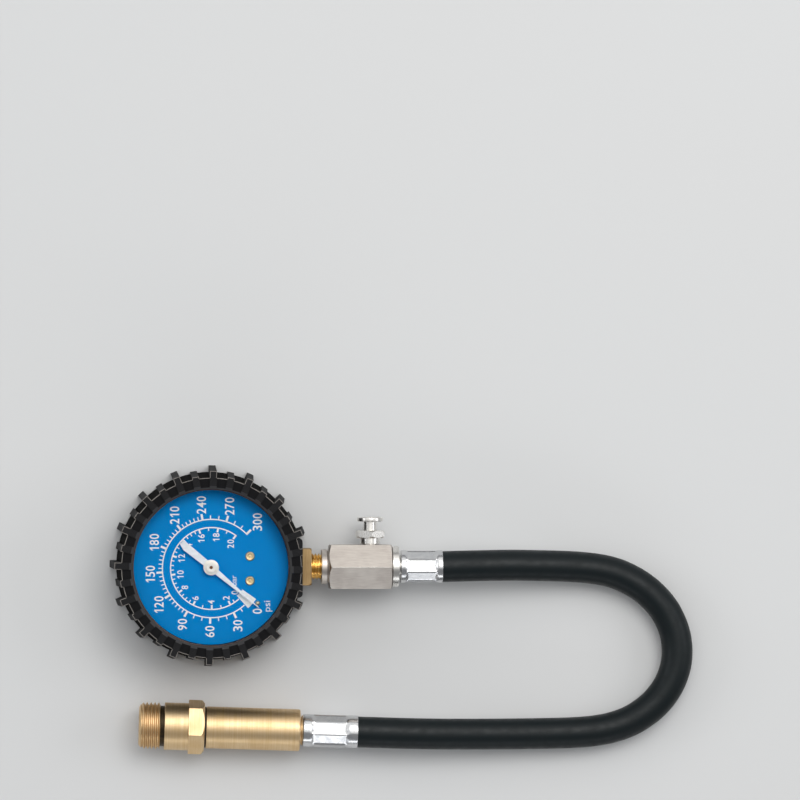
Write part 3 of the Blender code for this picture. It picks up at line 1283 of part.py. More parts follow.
def make_hose(finish):
    """A hose laid along its route. Inside the ferrules it is pressed thin, and bored for the nipples."""
    along = Vector((1, 0, 0))
    back = Vector((-math.cos(FAR_END_YAW), math.sin(FAR_END_YAW), 0))
    stem = Vector((0, 0, STEM_AXIS))
    far = Vector((*FAR_END_START, FAR_AXIS))
    near_mouth = NEAR_FERRULE_START + NEAR_FERRULE
    near_end = FLANGE_START + FLANGE + NIPPLE_NECK + GAP
    near_bore = near_end + BARB_PITCH * BARBS
    far_end = SLEEVE_START - NIPPLE_NECK - GAP
    far_bore = far_end - BARB_PITCH * BARBS
    route = smooth_route(HOSE_ROUTE, HOSE_POINT_SPACING)
    ways = [b - a for a, b in zip([route[0], *route], [*route[1:], route[-1]])]
    rings = [
        (stem + along * near_bore, along, HOSE_END_BORE),
        (stem + along * near_end, along, HOSE_END_BORE),
        (stem + along * near_end, along, HOSE_PRESSED_RADIUS),
        (stem + along * near_mouth, along, HOSE_PRESSED_RADIUS),
        *((point, way.normalized(), HOSE_RADIUS) for point, way in zip(route, ways)),
        (far, back, HOSE_PRESSED_RADIUS),
        (far + back * far_end, back, HOSE_PRESSED_RADIUS),
        (far + back * far_end, back, HOSE_END_BORE),
        (far + back * far_bore, back, HOSE_END_BORE),
    ]
    sections = []
    for middle, way, radius in rings:
        side = way.cross(Vector((0, 0, 1))).normalized()
        up = side.cross(way)
        turns = (math.tau * (k + 0.5) / HOSE_SIDES for k in range(HOSE_SIDES))
        sections.append([middle + radius * (side * math.cos(a) + up * math.sin(a)) for a in turns])
    place("hose", loft(sections), finish)


def make_end_fitting(finish, far_axis):
    """The brass sleeve. It runs from its nipple in the hose to the stub that the adaptor screws on."""
    barbs, end = barbed_nipple(0)
    nipple = [(r, SLEEVE_START - h) for r, h in barbs]
    bore = VALVE_CORE_RADIUS + FINE_GAP
    core_room = CORE_START - CHECK_CUP - CHECK_STROKE - 4 * GAP
    profile = [
        (NIPPLE_BORE_RADIUS, SLEEVE_START - end),
        *nipple[::-1],
        (SLEEVE_RADIUS - SLEEVE_CHAMFER, SLEEVE_START),
        (SLEEVE_RADIUS, SLEEVE_START + SLEEVE_CHAMFER),
        (SLEEVE_RADIUS, SLEEVE_END - EDGE),
        (SLEEVE_RADIUS - EDGE, SLEEVE_END),
        (STUB_RADIUS, SLEEVE_END),
        (STUB_RADIUS, STUB_END - STUB_CHAMFER),
        (STUB_RADIUS - STUB_CHAMFER, STUB_END),
        (bore, STUB_END),
        (bore, core_room),
        (NIPPLE_BORE_RADIUS, core_room - JOIN),
    ]
    place("end_fitting", turned(profile), finish, far_axis)


def make_check_valve(core_finish, pin_finish, spring_finish, far_axis):
    """A screw-in valve core. Pressure from the engine pushes its pin towards the hose."""
    seat_end = CORE_START + CORE_SEAT
    core = [
        (CORE_SEAT_RADIUS, CORE_START),
        (VALVE_CORE_RADIUS - EDGE, CORE_START),
        (VALVE_CORE_RADIUS, CORE_START + EDGE),
        (VALVE_CORE_RADIUS, CORE_END),
        (CORE_SPRING_ROOM_RADIUS, CORE_END),
        (CORE_SPRING_ROOM_RADIUS, seat_end),
        (CORE_SEAT_RADIUS, seat_end),
    ]
    place("valve_core", turned(core, COARSE), core_finish, far_axis)
    head_start = CORE_END - CHECK_HEAD - CHECK_STROKE
    cup_front = CORE_START - FINE_GAP
    pin = [
        (0, cup_front - CHECK_CUP),
        (CHECK_CUP_RADIUS, cup_front - CHECK_CUP),
        (CHECK_CUP_RADIUS, cup_front),
        (CHECK_PIN_RADIUS, cup_front),
        (CHECK_PIN_RADIUS, head_start),
        (CHECK_HEAD_RADIUS, head_start),
        (CHECK_HEAD_RADIUS, head_start + CHECK_HEAD),
        (CHECK_PIN_RADIUS, head_start + CHECK_HEAD),
        (CHECK_PIN_RADIUS, head_start + CHECK_HEAD + CHECK_PIN_TIP),
        (0, head_start + CHECK_HEAD + CHECK_PIN_TIP),
    ]
    place("valve_core_pin", turned(pin, COARSE), pin_finish, far_axis)
    start = seat_end + CHECK_SPRING_WIRE + FINE_GAP
    end = head_start - CHECK_SPRING_WIRE - FINE_GAP
    spring = coil(CHECK_SPRING_RADIUS, CHECK_SPRING_WIRE, start, end, 4)
    place("valve_core_spring", spring, spring_finish, far_axis)


def make_adaptor(finish, seal_finish, far_axis):
    ring_start = SLEEVE_END + FINE_GAP
    ring_hole = STUB_RADIUS + FINE_GAP
    ring = [
        (ring_hole, ring_start),
        (SEAL_RING_OUTER, ring_start),
        (SEAL_RING_OUTER, ring_start + SEAL_RING_WIDTH),
        (ring_hole, ring_start + SEAL_RING_WIDTH),
    ]
    place("adaptor_seal", turned(ring), seal_finish, far_axis)
    hex_end = ADAPTOR_START + ADAPTOR_HEX
    adaptor = chamfered_hex(
        "m18_adaptor",
        ADAPTOR_ACROSS_FLATS,
        ADAPTOR_START,
        hex_end,
        ADAPTOR_CHAMFER,
        finish,
        far_axis,
        ADAPTOR_HEX_TURN,
        both_ends=False,
    )
    collar_end = hex_end + ADAPTOR_COLLAR
    thread_start = collar_end + ADAPTOR_GROOVE
    thread_end = thread_start + ADAPTOR_THREAD
    barrel = [
        (0, hex_end - JOIN),
        (ADAPTOR_COLLAR_RADIUS, hex_end - JOIN),
        (ADAPTOR_COLLAR_RADIUS, collar_end),
        (ADAPTOR_GROOVE_RADIUS, collar_end),
        (ADAPTOR_GROOVE_RADIUS, thread_start),
        (ADAPTOR_THREAD_RADIUS, thread_start),
        (ADAPTOR_THREAD_RADIUS, thread_end - ADAPTOR_LEAD_IN),
        (ADAPTOR_THREAD_RADIUS - ADAPTOR_LEAD_IN, thread_end),
        (0, thread_end),
    ]
    apply_boolean(adaptor, place("adaptor_barrel", turned(barrel, FINE), None, far_axis), "UNION")
    stub_hole = STUB_RADIUS + GAP
    bore = [
        (0, ADAPTOR_START - GAP),
        (stub_hole, ADAPTOR_START - GAP),
        (stub_hole, STUB_END + GAP),
        (ADAPTOR_PORT_RADIUS, STUB_END + GAP),
        (ADAPTOR_PORT_RADIUS, thread_end + GAP),
        (0, thread_end + GAP),
    ]
    apply_boolean(adaptor, place("adaptor_bore", turned(bore), None, far_axis))


def main():
    clear_scene()
    looks = make_materials()
    stem_axis = axis_empty("stem_axis", (0, 0, STEM_AXIS), (0, math.pi / 2, 0))
    valve_flat = (VALVE_PLACE, BLOCK_ACROSS_FLATS / 2, STEM_AXIS)
    valve_axis = axis_empty("release_valve_axis", valve_flat, (-math.pi / 2, 0, 0))
    far_axis = axis_empty("far_end_axis", (*FAR_END_START, FAR_AXIS), (0, -math.pi / 2, -FAR_END_YAW))
    pointer_axis = axis_empty("pointer_axis", (0, 0, 0))
    sector_pivot = axis_empty("sector_pivot", (*SECTOR_PIVOT, 0))
    tail_axis = axis_empty("link_axis", (*TAIL_PIN, 0))

    make_boot(looks["black_rubber"])
    make_case(looks["case_steel"])
    make_window(looks["clear_window"], looks["case_steel"])
    make_socket(looks["milled_brass"], stem_axis)
    make_case_screws(looks["plated_steel"])
    make_restrictor(looks["bright_brass"], stem_axis)
    make_tube(looks["milled_brass"], looks["bright_brass"])
    make_plates(looks["screw_brass"])
    make_pillars(looks["screw_brass"])
    make_pinion(looks["spring_steel"])
    make_sector(looks["screw_brass"], looks["spring_steel"], sector_pivot)
    make_link(looks["screw_brass"], looks["spring_steel"], tail_axis)
    make_hairspring(looks["spring_steel"])
    make_dial(looks["dial_blue"], looks["screw_brass"], looks["plated_steel"])
    make_pointer(looks["pointer_silver"], looks["hub_cream"], pointer_axis)
    make_block(looks["brushed_nickel"], stem_axis)
    make_release_valve(looks["bright_nickel"], looks["dark_seal"], looks["spring_steel"], valve_axis)
    make_near_nipple(looks["bright_nickel"], stem_axis)
    steel = looks["plated_steel"]
    make_ferrule("near_ferrule", NEAR_FERRULE, NEAR_CRIMP, steel, stem_axis, (0, 0, NEAR_FERRULE_START))
    make_hose(looks["hose_rubber"])
    turned_round = (math.pi, 0, 0)
    make_ferrule("far_ferrule", FAR_FERRULE, FAR_CRIMP, steel, far_axis, (0, 0, FAR_FERRULE), turned_round)
    make_end_fitting(looks["bright_brass"], far_axis)
    make_check_valve(looks["bright_nickel"], looks["plated_steel"], looks["spring_steel"], far_axis)
    make_adaptor(looks["bright_brass"], looks["dark_seal"], far_axis)


main()
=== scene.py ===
"""Looks for a compression tester: a dial gauge in a ribbed rubber boot, its stem, block and release
valve, a short crimped hose, and a brass end fitting with a threaded adaptor.

Metres, in the row's frame: +Z out of the dial, +X along the stem, origin at the boot's flat back.
"""

from __future__ import annotations

import json
import logging
import math
from collections.abc import Callable, Iterator, Sequence
from contextlib import contextmanager
from dataclasses import dataclass, field
from enum import Enum

import bpy
from mathutils import Euler, Matrix, Vector

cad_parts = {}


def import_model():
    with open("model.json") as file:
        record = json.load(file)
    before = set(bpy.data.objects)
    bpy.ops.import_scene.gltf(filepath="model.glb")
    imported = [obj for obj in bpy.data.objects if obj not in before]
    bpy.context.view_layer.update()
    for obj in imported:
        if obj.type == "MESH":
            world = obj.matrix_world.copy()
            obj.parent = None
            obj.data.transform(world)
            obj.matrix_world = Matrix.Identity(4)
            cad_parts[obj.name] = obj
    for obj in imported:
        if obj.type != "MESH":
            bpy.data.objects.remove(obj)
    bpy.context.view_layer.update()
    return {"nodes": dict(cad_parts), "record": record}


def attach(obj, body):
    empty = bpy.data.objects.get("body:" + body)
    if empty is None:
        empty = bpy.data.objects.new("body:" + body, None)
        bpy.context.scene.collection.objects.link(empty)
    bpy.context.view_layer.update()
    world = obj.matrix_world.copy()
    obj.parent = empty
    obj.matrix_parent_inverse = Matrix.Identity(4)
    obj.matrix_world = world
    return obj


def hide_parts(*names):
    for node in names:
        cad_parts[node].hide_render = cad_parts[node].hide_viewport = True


LOG = logging.getLogger("compression_tester")
MM = 0.001
WELD = 1e-6
Point2 = tuple[float, float]
Point3 = tuple[float, float, float]
Piece = bpy.types.Object


class Body(Enum):
    """The rigid bodies that pieces ride on."""

    TOOL = "tool"
    POINTER = "pointer_group"
    BUTTON = "release_button"
    ADAPTOR = "adaptor"


class Cut(Enum):
    """What a second solid does to the first."""

    JOIN = "UNION"
    REMOVE = "DIFFERENCE"
    KEEP = "INTERSECT"


# Hand tools


def deselect() -> None:
    """Deselect every object."""
    bpy.ops.object.select_all(action="DESELECT")


def pick(piece: Piece) -> None:
    """Select one object alone and make it active."""
    deselect()
    piece.select_set(True)
    bpy.context.view_layer.objects.active = piece


@contextmanager
def editing(piece: Piece, chosen: bool = False) -> Iterator[None]:
    """Hold a piece open in edit mode, all of it selected, unless a part was chosen before."""
    pick(piece)
    bpy.ops.object.mode_set(mode="EDIT")
    if not chosen:
        bpy.ops.mesh.select_all(action="SELECT")
    yield
    bpy.ops.object.mode_set(mode="OBJECT")


def named(name: str) -> Piece:
    """Name the object that an operator has just added.

    Returns:
        The active object, with its data named as well.
    """
    piece = bpy.context.object
    piece.name = piece.data.name = name
    return piece


def close_up(piece: Piece) -> None:
    """Merge doubled points and turn every face outwards."""
    with editing(piece):
        bpy.ops.mesh.remove_doubles(threshold=WELD)
        bpy.ops.mesh.normals_make_consistent(inside=False)


def draw_line(name: str, points: Sequence[Point3]) -> Piece:
    """Draw a line of edges, one vertex extruded from point to point.

    Args:
        name: the new piece's name.
        points: the line's points. A line that ends where it starts becomes a loop.

    Returns:
        A piece of edges without faces.
    """
    deselect()
    bpy.ops.mesh.primitive_plane_add(size=MM)
    piece = named(name)
    with editing(piece):
        bpy.ops.mesh.merge(type="CENTER")
        bpy.ops.transform.translate(value=points[0])
        for here, there in zip(points, points[1:]):
            step = tuple(b - a for a, b in zip(here, there))
            bpy.ops.mesh.extrude_region_move(TRANSFORM_OT_translate={"value": step})
        bpy.ops.mesh.select_all(action="SELECT")
        bpy.ops.mesh.remove_doubles(threshold=WELD)
    return piece


def turn(name: str, profile: Sequence[Point2], steps: int = 96) -> Piece:
    """Turn a profile about +Z, as on a lathe.

    Args:
        name: the new piece's name.
        profile: (radius, height) points in metres, which start and end on the axis or at one point.
        steps: how many faces go round.

    Returns:
        The closed, turned piece.
    """
    piece = draw_line(name, [(radius, 0.0, height) for radius, height in profile])
    with editing(piece):
        bpy.ops.mesh.spin(steps=steps, angle=math.tau, center=(0, 0, 0), axis=(0, 0, 1))
    close_up(piece)
    return piece


def stamp(name: str, outline: Sequence[Point2], low: float, high: float) -> Piece:
    """Fill a flat outline and extrude it from one height to another.

    Args:
        name: the new piece's name.
        outline: (x, y) points in metres, in order and not repeated.
        low: height of the lower face.
        high: height of the upper face.

    Returns:
        The closed prism.
    """
    piece = draw_line(name, [(x, y, low) for x, y in (*outline, outline[0])])
    with editing(piece):
        bpy.ops.mesh.edge_face_add()
        bpy.ops.mesh.extrude_region_move(TRANSFORM_OT_translate={"value": (0, 0, high - low)})
    close_up(piece)
    return piece


def block_of(name: str, low: Point3, high: Point3) -> Piece:
    """Add a box between two corners."""
    deselect()
    middle = [(a + b) / 2 for a, b in zip(low, high)]
    size = [b - a for a, b in zip(low, high)]
    bpy.ops.mesh.primitive_cube_add(size=1, location=middle, scale=size)
    piece = named(name)
    settle(piece)
    return piece


def settle(piece: Piece, place: Matrix | None = None) -> None:
    """Put a piece in its place and move that place into its mesh."""
    if place is not None:
        piece.matrix_world = place @ piece.matrix_world
    pick(piece)
    bpy.ops.object.transform_apply(location=True, rotation=True, scale=True)


def apply_modifier(piece: Piece, kind: str, **settings: object) -> None:
    """Add one modifier with its settings and apply it."""
    modifier = piece.modifiers.new(kind.lower(), kind)
    for key, value in settings.items():
        setattr(modifier, key, value)
    pick(piece)
    bpy.ops.object.modifier_apply(modifier=modifier.name)


def carve(piece: Piece, tool: Piece, cut: Cut) -> None:
    """Join, remove or keep a second solid, which is used up."""
    apply_modifier(piece, "BOOLEAN", operation=cut.value, solver="EXACT", object=tool)
    bpy.data.objects.remove(tool, do_unlink=True)


def drill(piece: Piece, radius: float, low: float, high: float, place: Matrix | None = None, steps: int = 24) -> None:
    """Drill a round hole between two heights, about +Z or in a place of its own."""
    hole = turn("hole", [(0, low), (radius, low), (radius, high), (0, high)], steps)
    settle(hole, place)
    carve(piece, hole, Cut.REMOVE)


def soften(piece: Piece, width: float, segments: int = 2, angle: float = 30.0, slot: int = -1) -> None:
    """Round every edge that is sharper than the angle in degrees, with a material slot of its own if given."""
    apply_modifier(
        piece, "BEVEL", width=width, segments=segments, limit_method="ANGLE", angle_limit=math.radians(angle),
        harden_normals=False, material=slot,
    )


def polish(piece: Piece, angle: float) -> None:
    """Shade a piece smooth, but keep the edges that are sharper than the angle in degrees."""
    pick(piece)
    bpy.ops.object.shade_smooth_by_angle(angle=math.radians(angle))
    apply_modifier(piece, "WEIGHTED_NORMAL", keep_sharp=True, weight=100)


def join_all(name: str, pieces: Sequence[Piece]) -> Piece:
    """Join pieces that don't touch into one object."""
    deselect()
    for piece in pieces:
        piece.select_set(True)
    bpy.context.view_layer.objects.active = pieces[0]
    bpy.ops.object.join()
    return named(name)


def copy_turned(piece: Piece, angle: float) -> Piece:
    """Copy a piece with its own mesh, turned about the dial's axis."""
    made = piece.copy()
    made.data = piece.data.copy()
    bpy.context.scene.collection.objects.link(made)
    settle(made, Matrix.Rotation(angle, 4, "Z"))
    return made


def polar(radius: float, angle: float) -> Point2:
    """The point at a radius and an angle in radians."""
    return radius * math.cos(angle), radius * math.sin(angle)


def hexagon(across_flats: float, phase: float = 0.0) -> list[Point2]:
    """The corners of a hexagon of that width across its flats."""
    return [polar(across_flats / 2 / math.cos(math.pi / 6), phase + k * math.pi / 3) for k in range(6)]


def hex_nut(name: str, across_flats: float, low: float, high: float, chamfer: Sequence[float], phase: float) -> Piece:
    """Cut a hexagon whose corners are turned off at its ends, as on a nut.

    Args:
        name: the new piece's name.
        across_flats: width between opposite flats.
        low: height of the lower end.
        high: height of the upper end.
        chamfer: how far the chamfer runs in from the lower and from the upper end, 0 for none.
        phase: turn of the first corner, in radians.

    Returns:
        The chamfered nut, with soft edges.
    """
    over = 0.5 * MM
    piece = stamp(name, hexagon(across_flats, phase), low - over, high + over)
    corner, face = across_flats / 2 / math.cos(math.pi / 6) + 0.1 * MM, across_flats / 2 - 0.1 * MM
    start = [(0.0, low), (face, low), (corner, low + chamfer[0])] if chamfer[0] else [(0.0, low), (corner, low)]
    end = [(corner, high - chamfer[1]), (face, high), (0.0, high)] if chamfer[1] else [(corner, high), (0.0, high)]
    carve(piece, turn(name + "_envelope", [*start, *end], 120), Cut.KEEP)
    return piece


def threaded_rod(name: str, radius: float, depth: float, pitch: float, low: float, high: float) -> Piece:
    """Cut a right-handed thread between two heights.

    Args:
        name: the new piece's name.
        radius: radius of the crests.
        depth: from crest to root.
        pitch: height of one turn.
        low: height of the lower end.
        high: height of the upper end.

    Returns:
        A closed rod with flat ends.
    """
    tooth = ((0.0, depth), (0.10, depth), (0.42, 0.0), (0.58, 0.0), (0.90, depth), (1.0, depth))
    # The spiral runs over both ends by more than a turn, so that each cut meets whole turns only
    before, after = 2.3, 1.7
    piece = draw_line(name, [(radius - inward, 0.0, low + (share - before) * pitch) for share, inward in tooth])
    turns = math.ceil((high - low) / pitch + before + after)
    apply_modifier(
        piece, "SCREW", angle=math.tau, screw_offset=pitch, iterations=turns, steps=72, render_steps=72,
        use_merge_vertices=True, merge_threshold=WELD, use_normal_calculate=True,
    )
    close_up(piece)
    with editing(piece):
        for height, clear in ((low, "clear_inner"), (high, "clear_outer")):
            end = {"plane_co": (0, 0, height), "plane_no": (0, 0, 1), clear: True}
            bpy.ops.mesh.select_all(action="SELECT")
            bpy.ops.mesh.bisect(use_fill=True, threshold=WELD / 10, **end)
    close_up(piece)
    return piece


# Finishes


def linear(colour: str) -> tuple[float, float, float, float]:
    """Turn an sRGB hex colour into linear RGBA."""
    values = [int(colour[i : i + 2], 16) / 255 for i in (1, 3, 5)]
    return (*(v / 12.92 if v <= 0.04045 else ((v + 0.055) / 1.055) ** 2.4 for v in values), 1.0)


def add_node(
    tree: bpy.types.NodeTree, kind: str, settings: dict[str, object] | None = None,
    inputs: dict[str | int, object] | None = None,
) -> bpy.types.Node:
    """Add one shader node with its settings, values and links.

    Args:
        tree: the material's node tree.
        kind: the node's type, without its ShaderNode prefix.
        settings: the node's own properties.
        inputs: for each socket a value, or the output or the node whose first output is linked to it.

    Returns:
        The new node.
    """
    made = tree.nodes.new("ShaderNode" + kind)
    for key, value in (settings or {}).items():
        setattr(made, key, value)
    for key, value in (inputs or {}).items():
        if isinstance(value, bpy.types.Node):
            value = value.outputs[0]
        if isinstance(value, bpy.types.NodeSocket):
            tree.links.new(value, made.inputs[key])
        else:
            made.inputs[key].default_value = value
    return made


@dataclass(frozen=True)
class Finish:
    """A material and how its surface was made."""

    name: str
    colour: str
    roughness: float
    metallic: float = 0.0
    gloss: float = 0.5

    def make(self) -> bpy.types.Material:
        """Build the material.

        Returns:
            A node material that is named for the finish.
        """
        material = bpy.data.materials.new(self.name)
        material.use_nodes = True
        material.diffuse_color = linear(self.colour)
        shader = material.node_tree.nodes["Principled BSDF"]
        shader.inputs["Base Color"].default_value = linear(self.colour)
        shader.inputs["Roughness"].default_value = self.roughness
        shader.inputs["Metallic"].default_value = self.metallic
        shader.inputs["Specular IOR Level"].default_value = self.gloss
        self.dress(material.node_tree, shader)
        return material

    def dress(self, tree: bpy.types.NodeTree, shader: bpy.types.Node) -> None:
        """Add what varies over the surface."""

    def lay(self, tree: bpy.types.NodeTree, shader: bpy.types.Node, tone: tuple, gloss: tuple, relief: tuple) -> None:
        """Lay patterns on the colour, the roughness and the relief.

        Args:
            tree: the material's node tree.
            shader: the shader that shows them.
            tone: the pattern that mixes two colours, and the two.
            gloss: the pattern that varies the roughness, its two ends, and how far the roughness goes either way.
            relief: the pattern that raises the surface, and how far.
        """
        colour = add_node(tree, "Mix", {"data_type": "RGBA"}, dict(zip((0, 6, 7), tone)))
        pattern, low, high, spread = gloss
        ends = {"From Min": low, "From Max": high, "To Min": self.roughness - spread, "To Max": self.roughness + spread}
        rough = add_node(tree, "MapRange", inputs={"Value": pattern, **ends})
        bump = add_node(tree, "Bump", inputs={"Height": relief[0], "Distance": relief[1]})
        outputs = {"Base Color": colour.outputs[2], "Roughness": rough.outputs[0], "Normal": bump.outputs[0]}
        for name, output in outputs.items():
            tree.links.new(output, shader.inputs[name])


@dataclass(frozen=True)
class GrainedMetal(Finish):
    """Metal with tool marks: a noise stretched along the tool's path, and a slow cloudiness."""

    metallic: float = 1.0
    shade: str = "#808080"
    turn: Point3 = (0.0, 0.0, 0.0)
    marks_per_metre: Point3 = (1000.0, 1000.0, 1000.0)
    mark_height: float = 0.01 * MM
    roughness_spread: float = 0.08
    cloud_size: float = 6 * MM

    def dress(self, tree: bpy.types.NodeTree, shader: bpy.types.Node) -> None:
        """Lay the marks on colour, roughness and bump."""
        place = add_node(tree, "TexCoord").outputs["Object"]
        turned = add_node(tree, "Mapping", inputs={"Vector": place, "Rotation": self.turn})
        stretched = add_node(tree, "Mapping", inputs={"Vector": turned, "Scale": self.marks_per_metre})
        marks = add_node(tree, "TexNoise", inputs={"Vector": stretched, "Scale": 1.0, "Detail": 3.0, "Roughness": 0.6})
        cloud = add_node(tree, "TexNoise", inputs={"Vector": place, "Scale": 1 / self.cloud_size, "Detail": 2.0})
        both = add_node(tree, "Math", {"operation": "MULTIPLY_ADD"}, {0: cloud, 1: 0.6, 2: marks})
        share = add_node(tree, "MapRange", inputs={"Value": both, "From Min": 0.6, "From Max": 1.0})
        tone = (share, linear(self.colour), linear(self.shade))
        self.lay(tree, shader, tone, (both, 0.5, 1.1, self.roughness_spread), (marks, self.mark_height))


@dataclass(frozen=True)
class MouldedRubber(Finish):
    """Black moulded rubber: a fine matt grain, and pale worn edges where the mould's flash was cut."""

    shade: str = "#1b1c1c"
    edge: str = "#8b8a86"
    grain_size: float = 0.5 * MM
    grain_height: float = 0.03 * MM
    edge_width: float = 0.22 * MM
    edge_amount: float = 0.8
    wear_size: float = 5 * MM

    def dress(self, tree: bpy.types.NodeTree, shader: bpy.types.Node) -> None:
        """Lay the grain and the worn edges."""
        place = add_node(tree, "TexCoord").outputs["Object"]
        finely = {"Vector": place, "Scale": 1 / self.grain_size, "Detail": 4.0, "Roughness": 0.7}
        grain = add_node(tree, "TexNoise", inputs=finely)
        wear = add_node(tree, "TexNoise", inputs={"Vector": place, "Scale": 1 / self.wear_size, "Detail": 3.0})
        colours = {0: grain, 6: linear(self.shade), 7: linear(self.colour)}
        mottled = add_node(tree, "Mix", {"data_type": "RGBA"}, colours)
        rounded = add_node(tree, "Bevel", {"samples": 6}, {"Radius": self.edge_width})
        straight = add_node(tree, "NewGeometry").outputs["Normal"]
        bend = add_node(tree, "VectorMath", {"operation": "DOT_PRODUCT"}, {0: rounded, 1: straight}).outputs["Value"]
        sharp = {"Value": bend, "From Min": 0.99, "From Max": 0.80, "To Max": self.edge_amount}
        corner = add_node(tree, "MapRange", inputs=sharp)
        patch = add_node(tree, "MapRange", inputs={"Value": wear, "From Min": 0.40, "From Max": 0.66})
        worn = add_node(tree, "Math", {"operation": "MULTIPLY"}, {0: corner, 1: patch})
        tone = (worn, mottled.outputs[2], linear(self.edge))
        self.lay(tree, shader, tone, (grain, 0.0, 1.0, 0.1), (grain, self.grain_height))


@dataclass(frozen=True)
class SmoothCoat(Finish):
    """A smooth, slightly uneven skin, such as paint, ink or extruded rubber."""

    shade: str = "#808080"
    patch_size: float = 4 * MM
    ripple_size: float = 1 * MM
    ripple_height: float = 0.004 * MM
    roughness_spread: float = 0.05

    def dress(self, tree: bpy.types.NodeTree, shader: bpy.types.Node) -> None:
        """Lay soft patches of tone and gloss, and a faint ripple."""
        place = add_node(tree, "TexCoord").outputs["Object"]
        patch = add_node(tree, "TexNoise", inputs={"Vector": place, "Scale": 1 / self.patch_size, "Detail": 3.0})
        ripple = add_node(tree, "TexNoise", inputs={"Vector": place, "Scale": 1 / self.ripple_size, "Detail": 2.0})
        tone = (patch, linear(self.colour), linear(self.shade))
        self.lay(tree, shader, tone, (patch, 0.3, 0.7, self.roughness_spread), (ripple, self.ripple_height))


@dataclass(frozen=True)
class ClearPane(Finish):
    """Polished clear pane: light goes through, and a reflection grows towards grazing angles."""

    def dress(self, tree: bpy.types.NodeTree, shader: bpy.types.Node) -> None:
        """Let only the mirrored share of the light stay, less what its thin coat takes off."""
        mirrored = add_node(tree, "Fresnel", inputs={"IOR": 1.45})
        gloss = add_node(tree, "Math", {"operation": "SUBTRACT"}, {0: mirrored, 1: 0.0325})
        place = add_node(tree, "TexCoord").outputs["Object"]
        haze = add_node(tree, "TexNoise", inputs={"Vector": place, "Scale": 90.0, "Detail": 2.0})
        film = add_node(tree, "Math", {"operation": "MULTIPLY_ADD"}, {0: haze, 1: 0.002, 2: gloss})
        tree.links.new(film.outputs[0], shader.inputs["Alpha"])


STEM_TURN = (0.0, -math.pi / 2, 0.0)
FAR_YAW = math.radians(1.77)


